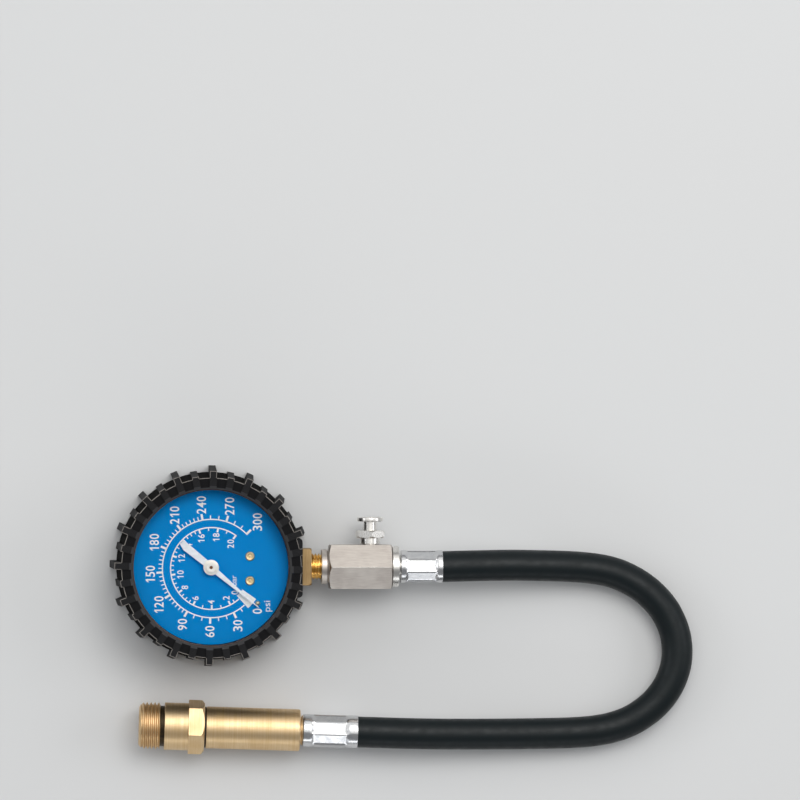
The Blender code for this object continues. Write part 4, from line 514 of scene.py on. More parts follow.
# Each finish by the record's material slot, or by its piece where a slot has two
FINISHES: dict[str, Finish] = {
    # Nitrile boot, compression moulded, with its flash cut round the ribs
    "black_rubber": MouldedRubber("moulded_nitrile", "#202022", 0.75, gloss=0.15, shade="#171718", edge_amount=0.05),
    # The same in the pockets between the ribs, darker: painted shade where the ribs keep the light out
    "pocket_painted_shade_rubber": MouldedRubber("nitrile_painted_pocket_shade", "#18181a", 0.85, gloss=0.1, shade="#111112", edge_amount=0.0),
    # The same on the wall behind the ribs, painted black as the shadow that falls there
    "wall_painted_shadow_rubber": MouldedRubber("nitrile_painted_wall_shadow", "#090909", 0.9, gloss=0.04, shade="#050505", edge_amount=0.0),
    # The same on the lip, which the pane keeps smooth
    "lip_rubber": MouldedRubber(
        "smooth_nitrile", "#38383a", 0.6, gloss=0.3, shade="#2c2c2d", edge_amount=0.0, grain_height=0.01 * MM,
    ),
    # The same where its rims were trimmed and have rubbed pale
    "worn_rubber": MouldedRubber("rubbed_nitrile", "#a8a29c", 0.8, shade="#45413d", grain_height=0.05 * MM),
    # Extruded hose cover, smooth and faintly glossy
    "hose_rubber": SmoothCoat(
        "extruded_hose_cover", "#0f181b", 0.44, gloss=0.24, shade="#0a1113", patch_size=3 * MM,
        ripple_size=0.8 * MM, ripple_height=0.02 * MM, roughness_spread=0.08,
    ),
    "dark_seal": SmoothCoat("seal_rubber", "#101011", 0.6, shade="#0b0b0c"),
    # Steel case, blackened, with a brown cast at its rolled rim
    "case_steel": GrainedMetal("blackened_steel", "#5d4b42", 0.42, shade="#40342d", mark_height=0.004 * MM),
    "clear_window": ClearPane("polished_pane", "#ffffff", 0.03, 1.0),
    # Aluminium dial, sprayed blue
    "dial_blue": SmoothCoat("sprayed_blue_enamel", "#0590dd", 0.42, gloss=0.0, shade="#0388d4", ripple_size=0.4 * MM),
    "white_ink": SmoothCoat("screen_ink", "#fffefa", 0.55, shade="#fcfbf8", ripple_size=0.3 * MM),
    "pointer_silver": GrainedMetal(
        "satin_aluminium", "#e4e7ec", 0.36, 0.8, shade="#cfd3d9", marks_per_metre=(900.0, 900.0, 900.0),
        mark_height=0.003 * MM,
    ),
    "hub_cream": SmoothCoat("nickelled_hub", "#fdf8ee", 0.34, 0.15, shade="#f3ecdf"),
    # The arbor's end in the hub, brown with old oil
    "arbor_bronze": GrainedMetal("oiled_bronze", "#8a5636", 0.6, 0.3, shade="#6b3f26", mark_height=0.002 * MM),
    # The stop pin, brass with a bright skin
    "pin_brass": GrainedMetal("burnished_brass", "#f6e6c6", 0.5, shade="#e6d0a6", mark_height=0.002 * MM),
    # Brass bar, milled square across the stem
    "milled_brass": GrainedMetal(
        "milled_brass", "#ab9169", 0.46, shade="#8f7551", marks_per_metre=(6000.0, 120.0, 6000.0),
        mark_height=0.012 * MM,
    ),
    # Brass bar, turned: fine rings round the far fitting's axis
    "bright_brass": GrainedMetal(
        "turned_brass", "#e2c8a0", 0.44, shade="#d3b384", turn=(0.0, 0.0, FAR_YAW),
        marks_per_metre=(7000.0, 40.0, 40.0), mark_height=0.0008 * MM,
    ),
    # Brass thread, rolled and left bright
    "rolled_brass": GrainedMetal(
        "rolled_brass", "#f6d489", 0.22, shade="#e3b25c", mark_height=0.002 * MM, roughness_spread=0.04,
    ),
    # The same in the groove before the thread, darkened as painted shade in the narrow undercut
    "groove_painted_shade_brass": GrainedMetal("groove_painted_shade_brass", "#43351f", 0.5, 0.7, shade="#241c12"),
    "screw_brass": GrainedMetal("stamped_brass", "#ead5ae", 0.34, shade="#d2b888", mark_height=0.004 * MM),
    # Bright nickel over turned brass
    "bright_nickel": GrainedMetal(
        "bright_nickel", "#ebe9e5", 0.28, shade="#dcd9d4", roughness_spread=0.04,
        marks_per_metre=(3000.0, 60.0, 60.0), mark_height=0.0006 * MM,
    ),
    # Nickel over flats that were brushed along the bar
    "brushed_nickel": GrainedMetal(
        "brushed_nickel", "#d2cbc3", 0.42, shade="#bcb3ac", marks_per_metre=(250.0, 5000.0, 5000.0),
        mark_height=0.005 * MM,
    ),
    "plated_steel": GrainedMetal(
        "zinc_plate", "#dcdcdc", 0.24, shade="#cccdd0", roughness_spread=0.05,
        marks_per_metre=(500.0, 500.0, 500.0), mark_height=0.002 * MM,
    ),
    "spring_steel": GrainedMetal("spring_steel", "#b4b4b6", 0.34, shade="#98989b"),
}


@dataclass
class Palette:
    """Every finish on the tool, made once. Colours are those of the part under plain light, except the painted shade in
    the boot's pockets and the adaptor's groove, and the painted shadow on the boot's wall.
    """

    made: dict[str, bpy.types.Material] = field(default_factory=dict)

    def build(self) -> None:
        """Make each finish's material."""
        self.made = {slot: finish.make() for slot, finish in FINISHES.items()}

    def coat(self, piece: Piece, *finishes: str) -> None:
        """Give a piece one finish all over, or a slot for each of several."""
        piece.data.materials.clear()
        for finish in finishes:
            piece.data.materials.append(self.made[finish])


@dataclass
class Assembly:
    """What every sub-assembly needs: the finishes, and the way a piece is put on its body."""

    palette: Palette

    def fit(
        self, piece: Piece, body: Body, slot: str, replaces: Sequence[str] = (), place: Matrix | None = None,
        finish: str | None = None, coated: bool = False, smooth: float = 32.0,
    ) -> None:
        """Put a finished piece in its place, with its shading, finish and body.

        Args:
            piece: the piece, still at its own origin.
            body: the body that it rides on.
            slot: the record's material slot.
            replaces: the CAD nodes that it stands for.
            place: where it goes.
            finish: its finish, if that isn't named as the slot is.
            coated: whether it has its finishes already.
            smooth: the angle in degrees past which an edge stays sharp, 0 for flat shading.
        """
        if smooth:
            polish(piece, smooth)
        if place is not None:
            settle(piece, place)
        if not coated:
            self.palette.coat(piece, finish or slot)
        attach(piece, body.value)
        if replaces:
            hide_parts(*replaces)
        LOG.info("%s: %d faces", piece.name, len(piece.data.polygons))


# Shared heights and axes

STEM_AXIS = 13.0 * MM
STEM = Matrix.Translation((0, 0, STEM_AXIS)) @ Matrix.Rotation(math.pi / 2, 4, "Y")
# Turned a little, so that no edge of a hole lies along an edge of the stem
CASE_SCREWS = [Matrix.Translation((x, 0, 0)) @ Matrix.Rotation(0.1, 4, "Z") for x in (14.0 * MM, 23.0 * MM)]


@dataclass
class Boot(Assembly):
    """The rubber boot: a cup with a lip over the gauge's rim, and ribs all round."""

    front_radius: float = 34.6 * MM
    back_radius: float = 36.5 * MM
    pocket: float = 31.3 * MM
    lip: float = 30.2 * MM
    floor: float = 2.5 * MM
    relief_floor: float = 1.5 * MM
    relief_radius: float = 26.0 * MM
    lip_back: float = 30.6 * MM
    ring_front: float = 31.5 * MM
    front: float = 32.3 * MM
    rib_count: int = 32
    rib_width: float = 2.65 * MM
    long_rib: float = 2.6 * MM
    short_rib: float = 0.8 * MM
    first_rib: float = math.radians(21.3)
    inner_slope: float = 1.2 * MM
    boss: float = 35.0 * MM
    boss_width: float = 22.8 * MM
    stem_square: float = 14.2 * MM
    trim: float = 1.0 * MM
    worn_round: float = 0.26 * MM
    rubbed_round: float = 0.2 * MM
    lip_slope: float = 0.7 * MM
    lip_drop: float = 0.4 * MM
    boss_corner: float = 1.5 * MM

    def build(self) -> None:
        """Mould the boot."""
        boot = self.ring()
        half = self.boss_width / 2
        beyond = self.back_radius + self.long_rib + self.trim
        inner, low = self.pocket + 0.6 * MM, -1.5 * self.trim
        corner = self.boss_corner
        round_off = [(math.sin(a), math.cos(a)) for a in (k * math.pi / 12 for k in range(7))]
        far = [(self.boss - corner * (1 - s), half - corner * (1 - c)) for s, c in round_off]
        outline = [(inner, half), *far, *((x, -y) for x, y in far[::-1]), (inner, -half)]
        carve(boot, self.worn_slots(stamp("boss", outline, low, self.ring_front - 0.1 * MM)), Cut.JOIN)
        carve(boot, self.ribs(half), Cut.JOIN)
        over = half + 0.3 * MM
        carve(boot, block_of("flat", (self.boss, -over, -self.front), (2 * beyond, over, 2 * self.front)), Cut.REMOVE)
        reach = 2 * beyond
        carve(boot, block_of("under", (-reach, -reach, -self.front), (reach, reach, 0.0)), Cut.REMOVE)
        side = self.stem_square / 2 + 0.3 * MM
        way = block_of("way", (28 * MM, -side, STEM_AXIS - side), (40 * MM, side, STEM_AXIS + side))
        carve(boot, way, Cut.REMOVE)
        self.fit(boot, Body.TOOL, "black_rubber", ["boot"], coated=True, smooth=28.0)
        boot.name = boot.data.name = "moulded_boot"

    def ring(self) -> Piece:
        """Turn the cup, with rounded rims.

        Returns:
            The cup, which runs on below the floor until it is trimmed.
        """
        profile = [
            (0.0, -self.trim), (self.back_radius, -self.trim), (self.back_radius, 0.0),
            (self.front_radius, self.ring_front), (self.lip + self.lip_slope, self.ring_front),
            (self.lip, self.ring_front - self.lip_drop), (self.lip, self.lip_back), (self.pocket, self.lip_back),
            (self.pocket, self.floor), (self.relief_radius, self.floor), (self.relief_radius, self.relief_floor),
            (0.0, self.relief_floor),
        ]
        cup = turn("moulded_boot", profile, 192)
        self.worn_slots(cup)
        # Above the floor, the ring's front between the ribs takes the pockets' painted shade, and its walls the wall's
        # painted shadow
        for face in cup.data.polygons:
            if face.center.z > self.floor + MM and face.material_index == 0:
                face.material_index = 3 if abs(face.normal.z) > 0.5 else 4
        outermost = self.front_radius - 0.05 * MM
        self.wear(
            cup, self.worn_round,
            lambda *ends: all(p.z > self.ring_front - WELD and math.hypot(p.x, p.y) > outermost for p in ends),
        )
        return cup

    def worn_slots(self, piece: Piece) -> Piece:
        """Give a piece the slots of the boot's rubber: as moulded, worn, the smooth lip's, the pockets' painted shade
        and the wall's painted shadow.
        """
        self.palette.coat(piece, "black_rubber", "worn_rubber", "lip_rubber", "pocket_painted_shade_rubber", "wall_painted_shadow_rubber")
        for face in piece.data.polygons:
            tilted = 0.5 < abs(face.normal.z) < 0.95 or math.hypot(face.center.x, face.center.y) < self.lip + WELD
            if tilted and face.center.z > self.lip_back:
                face.material_index = 2
        return piece

    def wear(self, piece: Piece, width: float, at_rim: Callable[[Vector, Vector], bool]) -> None:
        """Round the edges at a rim, and mark the new faces as worn.

        Args:
            piece: the piece.
            width: how wide the rounding is.
            at_rim: tells from an edge's two ends whether it is worn.
        """
        pick(piece)
        points = [v.co for v in piece.data.vertices]
        for kept in (piece.data.vertices, piece.data.polygons, piece.data.edges):
            kept.foreach_set("select", [False] * len(kept))
        for edge in piece.data.edges:
            a, b = (points[i] for i in edge.vertices)
            edge.select = at_rim(a, b)
        bpy.context.tool_settings.mesh_select_mode = (False, True, False)
        with editing(piece, chosen=True):
            bpy.ops.mesh.bevel(offset=width, segments=2, material=1, affect="EDGES")
        bpy.context.tool_settings.mesh_select_mode = (True, False, False)

    def rib(self, reach: float) -> Piece:
        """Model one rib as an upright plate with rounded edges, pointing along +X.

        Args:
            reach: how far it stands out of the ring.

        Returns:
            The rib.
        """
        outer = self.front_radius + reach
        below = 2 * (self.back_radius - self.front_radius) * self.trim / self.front
        tip = self.lip + 0.1 * MM
        side = [
            (self.pocket + 0.3 * MM, -2 * self.trim),
            (outer + self.back_radius - self.front_radius + below, -2 * self.trim), (outer, self.front),
            (self.front_radius, self.front), (tip + self.inner_slope, self.front),
            (tip, self.ring_front - self.lip_drop + 0.1 * MM), (tip, self.lip_back + 0.3 * MM),
            (self.pocket + 0.3 * MM, self.lip_back + 0.3 * MM),
        ]
        rib = stamp("rib", side, -self.rib_width / 2, self.rib_width / 2)
        settle(rib, Matrix.Rotation(math.pi / 2, 4, "X"))
        self.worn_slots(rib)
        outside = self.front_radius - 0.05 * MM
        self.wear(
            rib,
            self.rubbed_round,
            lambda *ends: all(p.z > self.front - WELD and p.x > outside for p in ends)
            and max(p.x for p in ends) > outside + 0.2 * MM,
        )
        return rib

    def ribs(self, half: float) -> Piece:
        """Copy the two kinds of rib round the ring.

        Args:
            half: half the width of the stem's boss, where every rib is a long one.

        Returns:
            All the ribs, joined.
        """
        long_one, short_one = self.rib(self.long_rib), self.rib(self.short_rib)
        placed = []
        for k in range(self.rib_count):
            angle = self.first_rib + k * math.tau / self.rib_count
            at_boss = abs(math.sin(angle)) * self.boss < half and math.cos(angle) > 0
            placed.append(copy_turned(long_one if k % 2 == 0 or at_boss else short_one, angle))
        for model in (long_one, short_one):
            bpy.data.objects.remove(model, do_unlink=True)
        return join_all("ribs", placed)


@dataclass
class Case(Assembly):
    """The steel case, the pane in its mouth and the ring that holds the pane."""

    radius: float = 31.0 * MM
    inside: float = 30.5 * MM
    back: float = 2.8 * MM
    floor: float = 3.3 * MM
    rim: float = 30.3 * MM
    corner: float = 2.0 * MM
    bead: float = 0.6 * MM
    pane_back: float = 27.7 * MM
    pane_front: float = 29.2 * MM
    pane_radius: float = 30.3 * MM
    ring_back: float = 29.3 * MM
    ring_front: float = 30.2 * MM
    ring_width: float = 0.4 * MM

    def build(self) -> None:
        """Press the case, and fit the pane and its ring."""
        seat = self.pane_back - 0.1 * MM
        bead_back = seat - 0.8 * MM
        profile = [
            (0.0, self.back), (self.radius - self.corner, self.back),
            (self.radius - self.corner * 0.3, self.back + self.corner * 0.3), (self.radius, self.back + self.corner),
            (self.radius, self.rim), (self.inside, self.rim), (self.inside, seat), (self.inside - self.bead, seat),
            (self.inside - self.bead, bead_back), (self.inside, bead_back - self.bead),
            (self.inside, self.floor + 1.5 * MM), (self.inside - 1.5 * MM, self.floor), (0.0, self.floor),
        ]
        case = turn("pressed_case", profile, 144)
        side = 7.4 * MM
        way = block_of("way", (28 * MM, -side, STEM_AXIS - side), (36 * MM, side, STEM_AXIS + side))
        carve(case, way, Cut.REMOVE)
        for place in CASE_SCREWS:
            drill(case, 1.5 * MM, 2 * MM, 4 * MM, place)
        self.fit(case, Body.TOOL, "case_steel", ["case"])
        profile = [
            (0.0, self.pane_back), (self.pane_radius, self.pane_back), (self.pane_radius, self.pane_front),
            (0.0, self.pane_front),
        ]
        pane = turn("clear_pane", profile, 144)
        soften(pane, 0.25 * MM)
        self.fit(pane, Body.TOOL, "clear_window", ["window"])
        inner = self.pane_radius - self.ring_width
        profile = [
            (self.pane_radius, self.ring_back), (self.pane_radius, self.ring_front), (inner, self.ring_front),
            (inner, self.ring_back), (self.pane_radius, self.ring_back),
        ]
        ring = turn("retaining_ring", profile, 144)
        soften(ring, 0.1 * MM)
        self.fit(ring, Body.TOOL, "case_steel", ["bezel_ring"])


class Scale(Enum):
    """The two printed scales: value at the start, degrees there, and degrees for one unit."""

    PSI = (0.0, 324.5, -28 / 30)
    BAR = (0.0, 324.5, -13.54)

    def angle(self, value: float) -> float:
        """The direction of a value, in radians counter-clockwise from +X."""
        start, degrees, per_unit = self.value
        return math.radians(degrees + (value - start) * per_unit)


@dataclass
class Dial(Assembly):
    """The dial plate with its print, screws, stop pin and pointer."""

    pixel: float = 0.3853 * MM
    centre: Point2 = (211.2, 567.35)
    print_offset: Point3 = (0.20 * MM, -0.45 * MM, 0.0)
    back: float = 22.1 * MM
    front: float = 22.6 * MM
    radius: float = 29.8 * MM
    ink: float = 0.03 * MM
    psi_arc: float = 18.95 * MM
    psi_minor: float = 20.45 * MM
    psi_major: float = 21.3 * MM
    bar_arc: float = 15.78 * MM
    bar_minor: float = 14.55 * MM
    bar_major: float = 14.1 * MM
    line: float = 0.46 * MM
    rest: float = math.radians(319.9)
    thin_tick: float = 0.40 * MM
    thick_tick: float = 0.85 * MM
    screws: Sequence[Point3] = ((15.0 * MM, 4.25 * MM, 0.0), (15.0 * MM, -5.15 * MM, 0.0))

    def build(self) -> None:
        """Stamp and print the dial, and fit what stands on it."""
        profile = [(0.0, self.back), (self.radius, self.back), (self.radius, self.front), (0.0, self.front)]
        plate = turn("dial_plate", profile, 144)
        drill(plate, 0.85 * MM, 20 * MM, 24 * MM, steps=32)
        self.fit(plate, Body.TOOL, "dial_blue", ["dial"])
        scale = join_all("lines", [*self.arcs(), *self.psi_ticks(), *self.bar_ticks()])
        settle(scale, Matrix.Translation(self.print_offset))
        scale = join_all("printed_scales", [scale, self.zero_box()])
        self.fit(scale, Body.TOOL, "dial_blue", finish="white_ink", smooth=0.0)
        figures = join_all("printed_figures", self.figures())
        self.fit(figures, Body.TOOL, "dial_blue", finish="white_ink", smooth=0.0)
        self.screw_heads()
        self.pin()
        self.hub()
        self.blade()

    def wedge(self, inner: float, outer: float, start: float, end: float, steps: int) -> Piece:
        """Print one band between two radii and two angles in radians.

        Args:
            inner: inner radius.
            outer: outer radius.
            start: first angle.
            end: last angle.
            steps: pieces along the band.

        Returns:
            The band, as thick as the ink.
        """
        angles = [start + (end - start) * k / steps for k in range(steps + 1)]
        outline = [polar(outer, a) for a in angles] + [polar(inner, a) for a in angles[::-1]]
        return stamp("ink", outline, self.front - 0.01 * MM, self.front + self.ink)

    def tick(self, angle: float, inner: float, outer: float, width: float) -> Piece:
        """Print one straight tick across the scale."""
        half = width / 2
        mark = block_of("ink", (inner, -half, self.front - 0.01 * MM), (outer, half, self.front + self.ink))
        settle(mark, Matrix.Rotation(angle, 4, "Z"))
        return mark

    def arcs(self) -> list[Piece]:
        """Print the two scales' lines, from the zero box to their ends."""
        start = math.radians(312.0)
        half = self.line / 2
        spans = (
            (self.psi_arc, Scale.PSI.angle(300) - math.radians(1.1)),
            (self.bar_arc, Scale.BAR.angle(20) - math.radians(1.4)),
        )
        return [self.wedge(r - half, r + half, end, start, 90) for r, end in spans]

    def psi_ticks(self) -> list[Piece]:
        """Print the outer scale's ticks: every 10, every 5 in its middle, and a thick one every 30."""
        marks = []
        for value in (v for v in range(10, 301, 5) if v % 10 == 0 or 90 <= v <= 240):
            thick = value % 30 == 0
            outer = self.psi_major if thick else self.psi_minor
            width = self.thick_tick if thick else self.thin_tick
            if value > 10:
                marks.append(self.tick(Scale.PSI.angle(value), self.psi_arc, outer, width))
        return marks

    def bar_ticks(self) -> list[Piece]:
        """Print the inner scale's ticks: every unit, every half in its middle, a thick one every 2."""
        marks = []
        for doubled in (d for d in range(3, 41) if d % 2 == 0 or d == 3 or 12 <= d <= 32):
            thick = doubled % 4 == 0
            inner = self.bar_major if thick else self.bar_minor
            width = self.thick_tick * 0.85 if thick else self.thin_tick
            marks.append(self.tick(Scale.BAR.angle(doubled / 2), inner, self.bar_arc, width))
        return marks

    def zero_box(self) -> Piece:
        """Print the filled box behind the resting pointer."""
        return self.wedge(14.75 * MM, 21.25 * MM, math.radians(312.2), math.radians(324.9), 8)

    def figures(self) -> list[Piece]:
        """Set every figure at the place that it has on the dial."""
        large = {
            "0": (257.5, 611.2), "30": (238.0, 625.7), "60": (210.0, 631.6), "90": (182.6, 624.5),
            "120": (159.1, 604.9), "150": (150.5, 574.4), "180": (154.5, 542.6), "210": (174.8, 515.2),
            "240": (201.5, 505.0), "270": (229.8, 506.2), "300": (257.6, 522.0),
        }
        small = {
            "0": (234.9, 592.6), "2": (226.4, 597.9), "4": (211.3, 602.1), "6": (195.5, 598.2),
            "8": (185.0, 587.4), "10": (180.6, 574.7), "12": (181.7, 558.4), "14": (189.3, 547.9),
            "16": (201.5, 538.6), "18": (216.4, 537.5), "20": (230.8, 543.9),
        }
        placed = [self.figure(text, at, 9.4, 6.15) for text, at in large.items()]
        placed += [self.figure(text, at, 6.6, 4.8) for text, at in small.items()]
        placed.append(self.figure("psi", (268.4, 606.2), 8.4, 3.95))
        placed.append(self.figure("bar", (233.9, 580.5), 5.8, 3.7))
        return placed

    def figure(self, text: str, at: Point2, height: float, pitch: float) -> Piece:
        """Print one number or unit, upright for a reader on the -X side.

        Args:
            text: the characters.
            at: the middle of the text, in the photograph's pixels.
            height: its height in pixels.
            pitch: the width of one character with its gap, in pixels.

        Returns:
            The text as a thin mesh.
        """
        tall, step, gap = height * self.pixel, pitch * self.pixel, 1.05 * self.pixel
        words = list(text) if text.isdigit() else [text]
        glyphs = []
        for k, word in enumerate(words):
            wide = step * len(word) - gap
            glyph = self.flagged_one(tall, wide) if word == "1" else self.glyph(word, tall, wide)
            settle(glyph, Matrix.Translation(((k - (len(words) - 1) / 2) * step, 0, 0)))
            glyphs.append(glyph)
        piece = join_all("ink", glyphs)
        x, y = ((at[0] - self.centre[0]) * self.pixel, (self.centre[1] - at[1]) * self.pixel)
        middle = self.front + (self.ink - 0.01 * MM) / 2
        settle(piece, Matrix.Translation((x, y, middle)) @ Matrix.Rotation(math.pi / 2, 4, "Z"))
        return piece

    def glyph(self, text: str, tall: float, wide: float) -> Piece:
        """Write characters and fit them into a box round the origin.

        Args:
            text: the characters.
            tall: the box's height.
            wide: the box's width.

        Returns:
            The characters, as thick as the ink.
        """
        deselect()
        bpy.ops.object.text_add()
        written = bpy.context.object
        written.data.body = text
        written.data.offset = 0.012 if text.isdigit() else 0.0
        written.data.extrude = 0.05
        written.data.resolution_u = 6
        bpy.ops.object.convert(target="MESH")
        piece = named("ink")
        low = Vector(map(min, zip(*(v.co for v in piece.data.vertices))))
        high = Vector(map(max, zip(*(v.co for v in piece.data.vertices))))
        size = high - low
        fit = Matrix.Diagonal((wide / size.x, tall / size.y, (self.ink + 0.01 * MM) / size.z, 1))
        settle(piece, fit @ Matrix.Translation(-(low + high) / 2))
        close_up(piece)
        return piece

    def flagged_one(self, tall: float, wide: float) -> Piece:
        """Cut the figure one, which is narrower than the others and has a flag at its top.

        Args:
            tall: its height.
            wide: the width of the other figures.

        Returns:
            The figure, as thick as the ink.
        """
        top, right = tall / 2, wide * 0.28
        left, stroke = -wide * 0.34, tall * 0.15
        outline = [
            (right - stroke, -top), (right, -top), (right, top), (right - stroke * 0.9, top),
            (left, top - tall * 0.22), (left, top - tall * 0.38), (right - stroke, top - tall * 0.20),
        ]
        half = (self.ink + 0.01 * MM) / 2
        return stamp("ink", outline, -half, half)

    def screw_heads(self) -> None:
        """Turn the two brass screws, with a round recess and a button in it."""
        for k, at in enumerate(self.screws):
            profile = [
                (0.0, 0.45 * MM), (0.30 * MM, 0.45 * MM), (0.42 * MM, 0.30 * MM), (0.80 * MM, 0.30 * MM),
                (0.95 * MM, 0.62 * MM), (1.45 * MM, 0.66 * MM), (1.80 * MM, 0.40 * MM), (1.80 * MM, 0.1 * MM),
                (0.8 * MM, 0.1 * MM), (0.8 * MM, -4.4 * MM), (0.0, -4.4 * MM),
            ]
            head = turn(f"dial_rivet_{k + 1}", profile, 48)
            soften(head, 0.06 * MM)
            place = Matrix.Translation((at[0], at[1], self.front))
            self.fit(head, Body.TOOL, "screw_brass", [f"dial_screw_{k + 1}"], place)

    def pin(self) -> None:
        """Turn the stop pin with its domed end."""
        angle = math.radians(322.5)
        x, y = polar(22.65 * MM, angle)
        r, top = 0.86 * MM, 25.2 * MM
        dome = [(r * math.cos(a), top - r + r * math.sin(a)) for a in (k * math.pi / 12 for k in range(6))]
        pin = turn("domed_stop_pin", [(0.0, 21.8 * MM), (r, 21.8 * MM), *dome, (0.0, top)], 32)
        place = Matrix.Translation((x, y, 0))
        self.fit(pin, Body.TOOL, "plated_steel", ["stop_pin"], place, "pin_brass", smooth=40.0)

    def hub(self) -> None:
        """Turn the pointer's hub."""
        profile = [
            (0.65 * MM, 24.2 * MM), (1.3 * MM, 24.2 * MM), (1.3 * MM, 25.0 * MM), (3.0 * MM, 25.0 * MM),
            (3.0 * MM, 25.6 * MM), (2.1 * MM, 25.68 * MM), (1.95 * MM, 25.9 * MM), (0.65 * MM, 25.9 * MM),
            (0.65 * MM, 24.2 * MM),
        ]
        hub = turn("turned_hub", profile, 96)
        soften(hub, 0.1 * MM, 3)
        self.fit(hub, Body.POINTER, "hub_cream", ["pointer_hub"])

    def blade(self) -> None:
        """Stamp the pointer: a lance to the scale, and a broad tail with one cut corner."""
        outline = [
            (2.6, 1.10), (23.7, 0.13), (24.1, 0.0), (23.7, -0.13), (2.6, -1.02), (0.0, -2.4), (-2.4, -1.28),
            (-12.5, -1.75), (-14.7, -1.0), (-15.1, 0.2), (-14.9, 1.33), (-2.9, 1.27), (0.0, 2.4),
        ]
        blade = stamp("stamped_pointer", [(x * MM, y * MM) for x, y in outline[::-1]], 24.5 * MM, 24.9 * MM)
        drill(blade, 1.4 * MM, 24 * MM, 25.5 * MM, steps=32)
        soften(blade, 0.06 * MM, 2, 40.0)
        self.fit(blade, Body.POINTER, "pointer_silver", ["pointer"], Matrix.Rotation(self.rest, 4, "Z"))


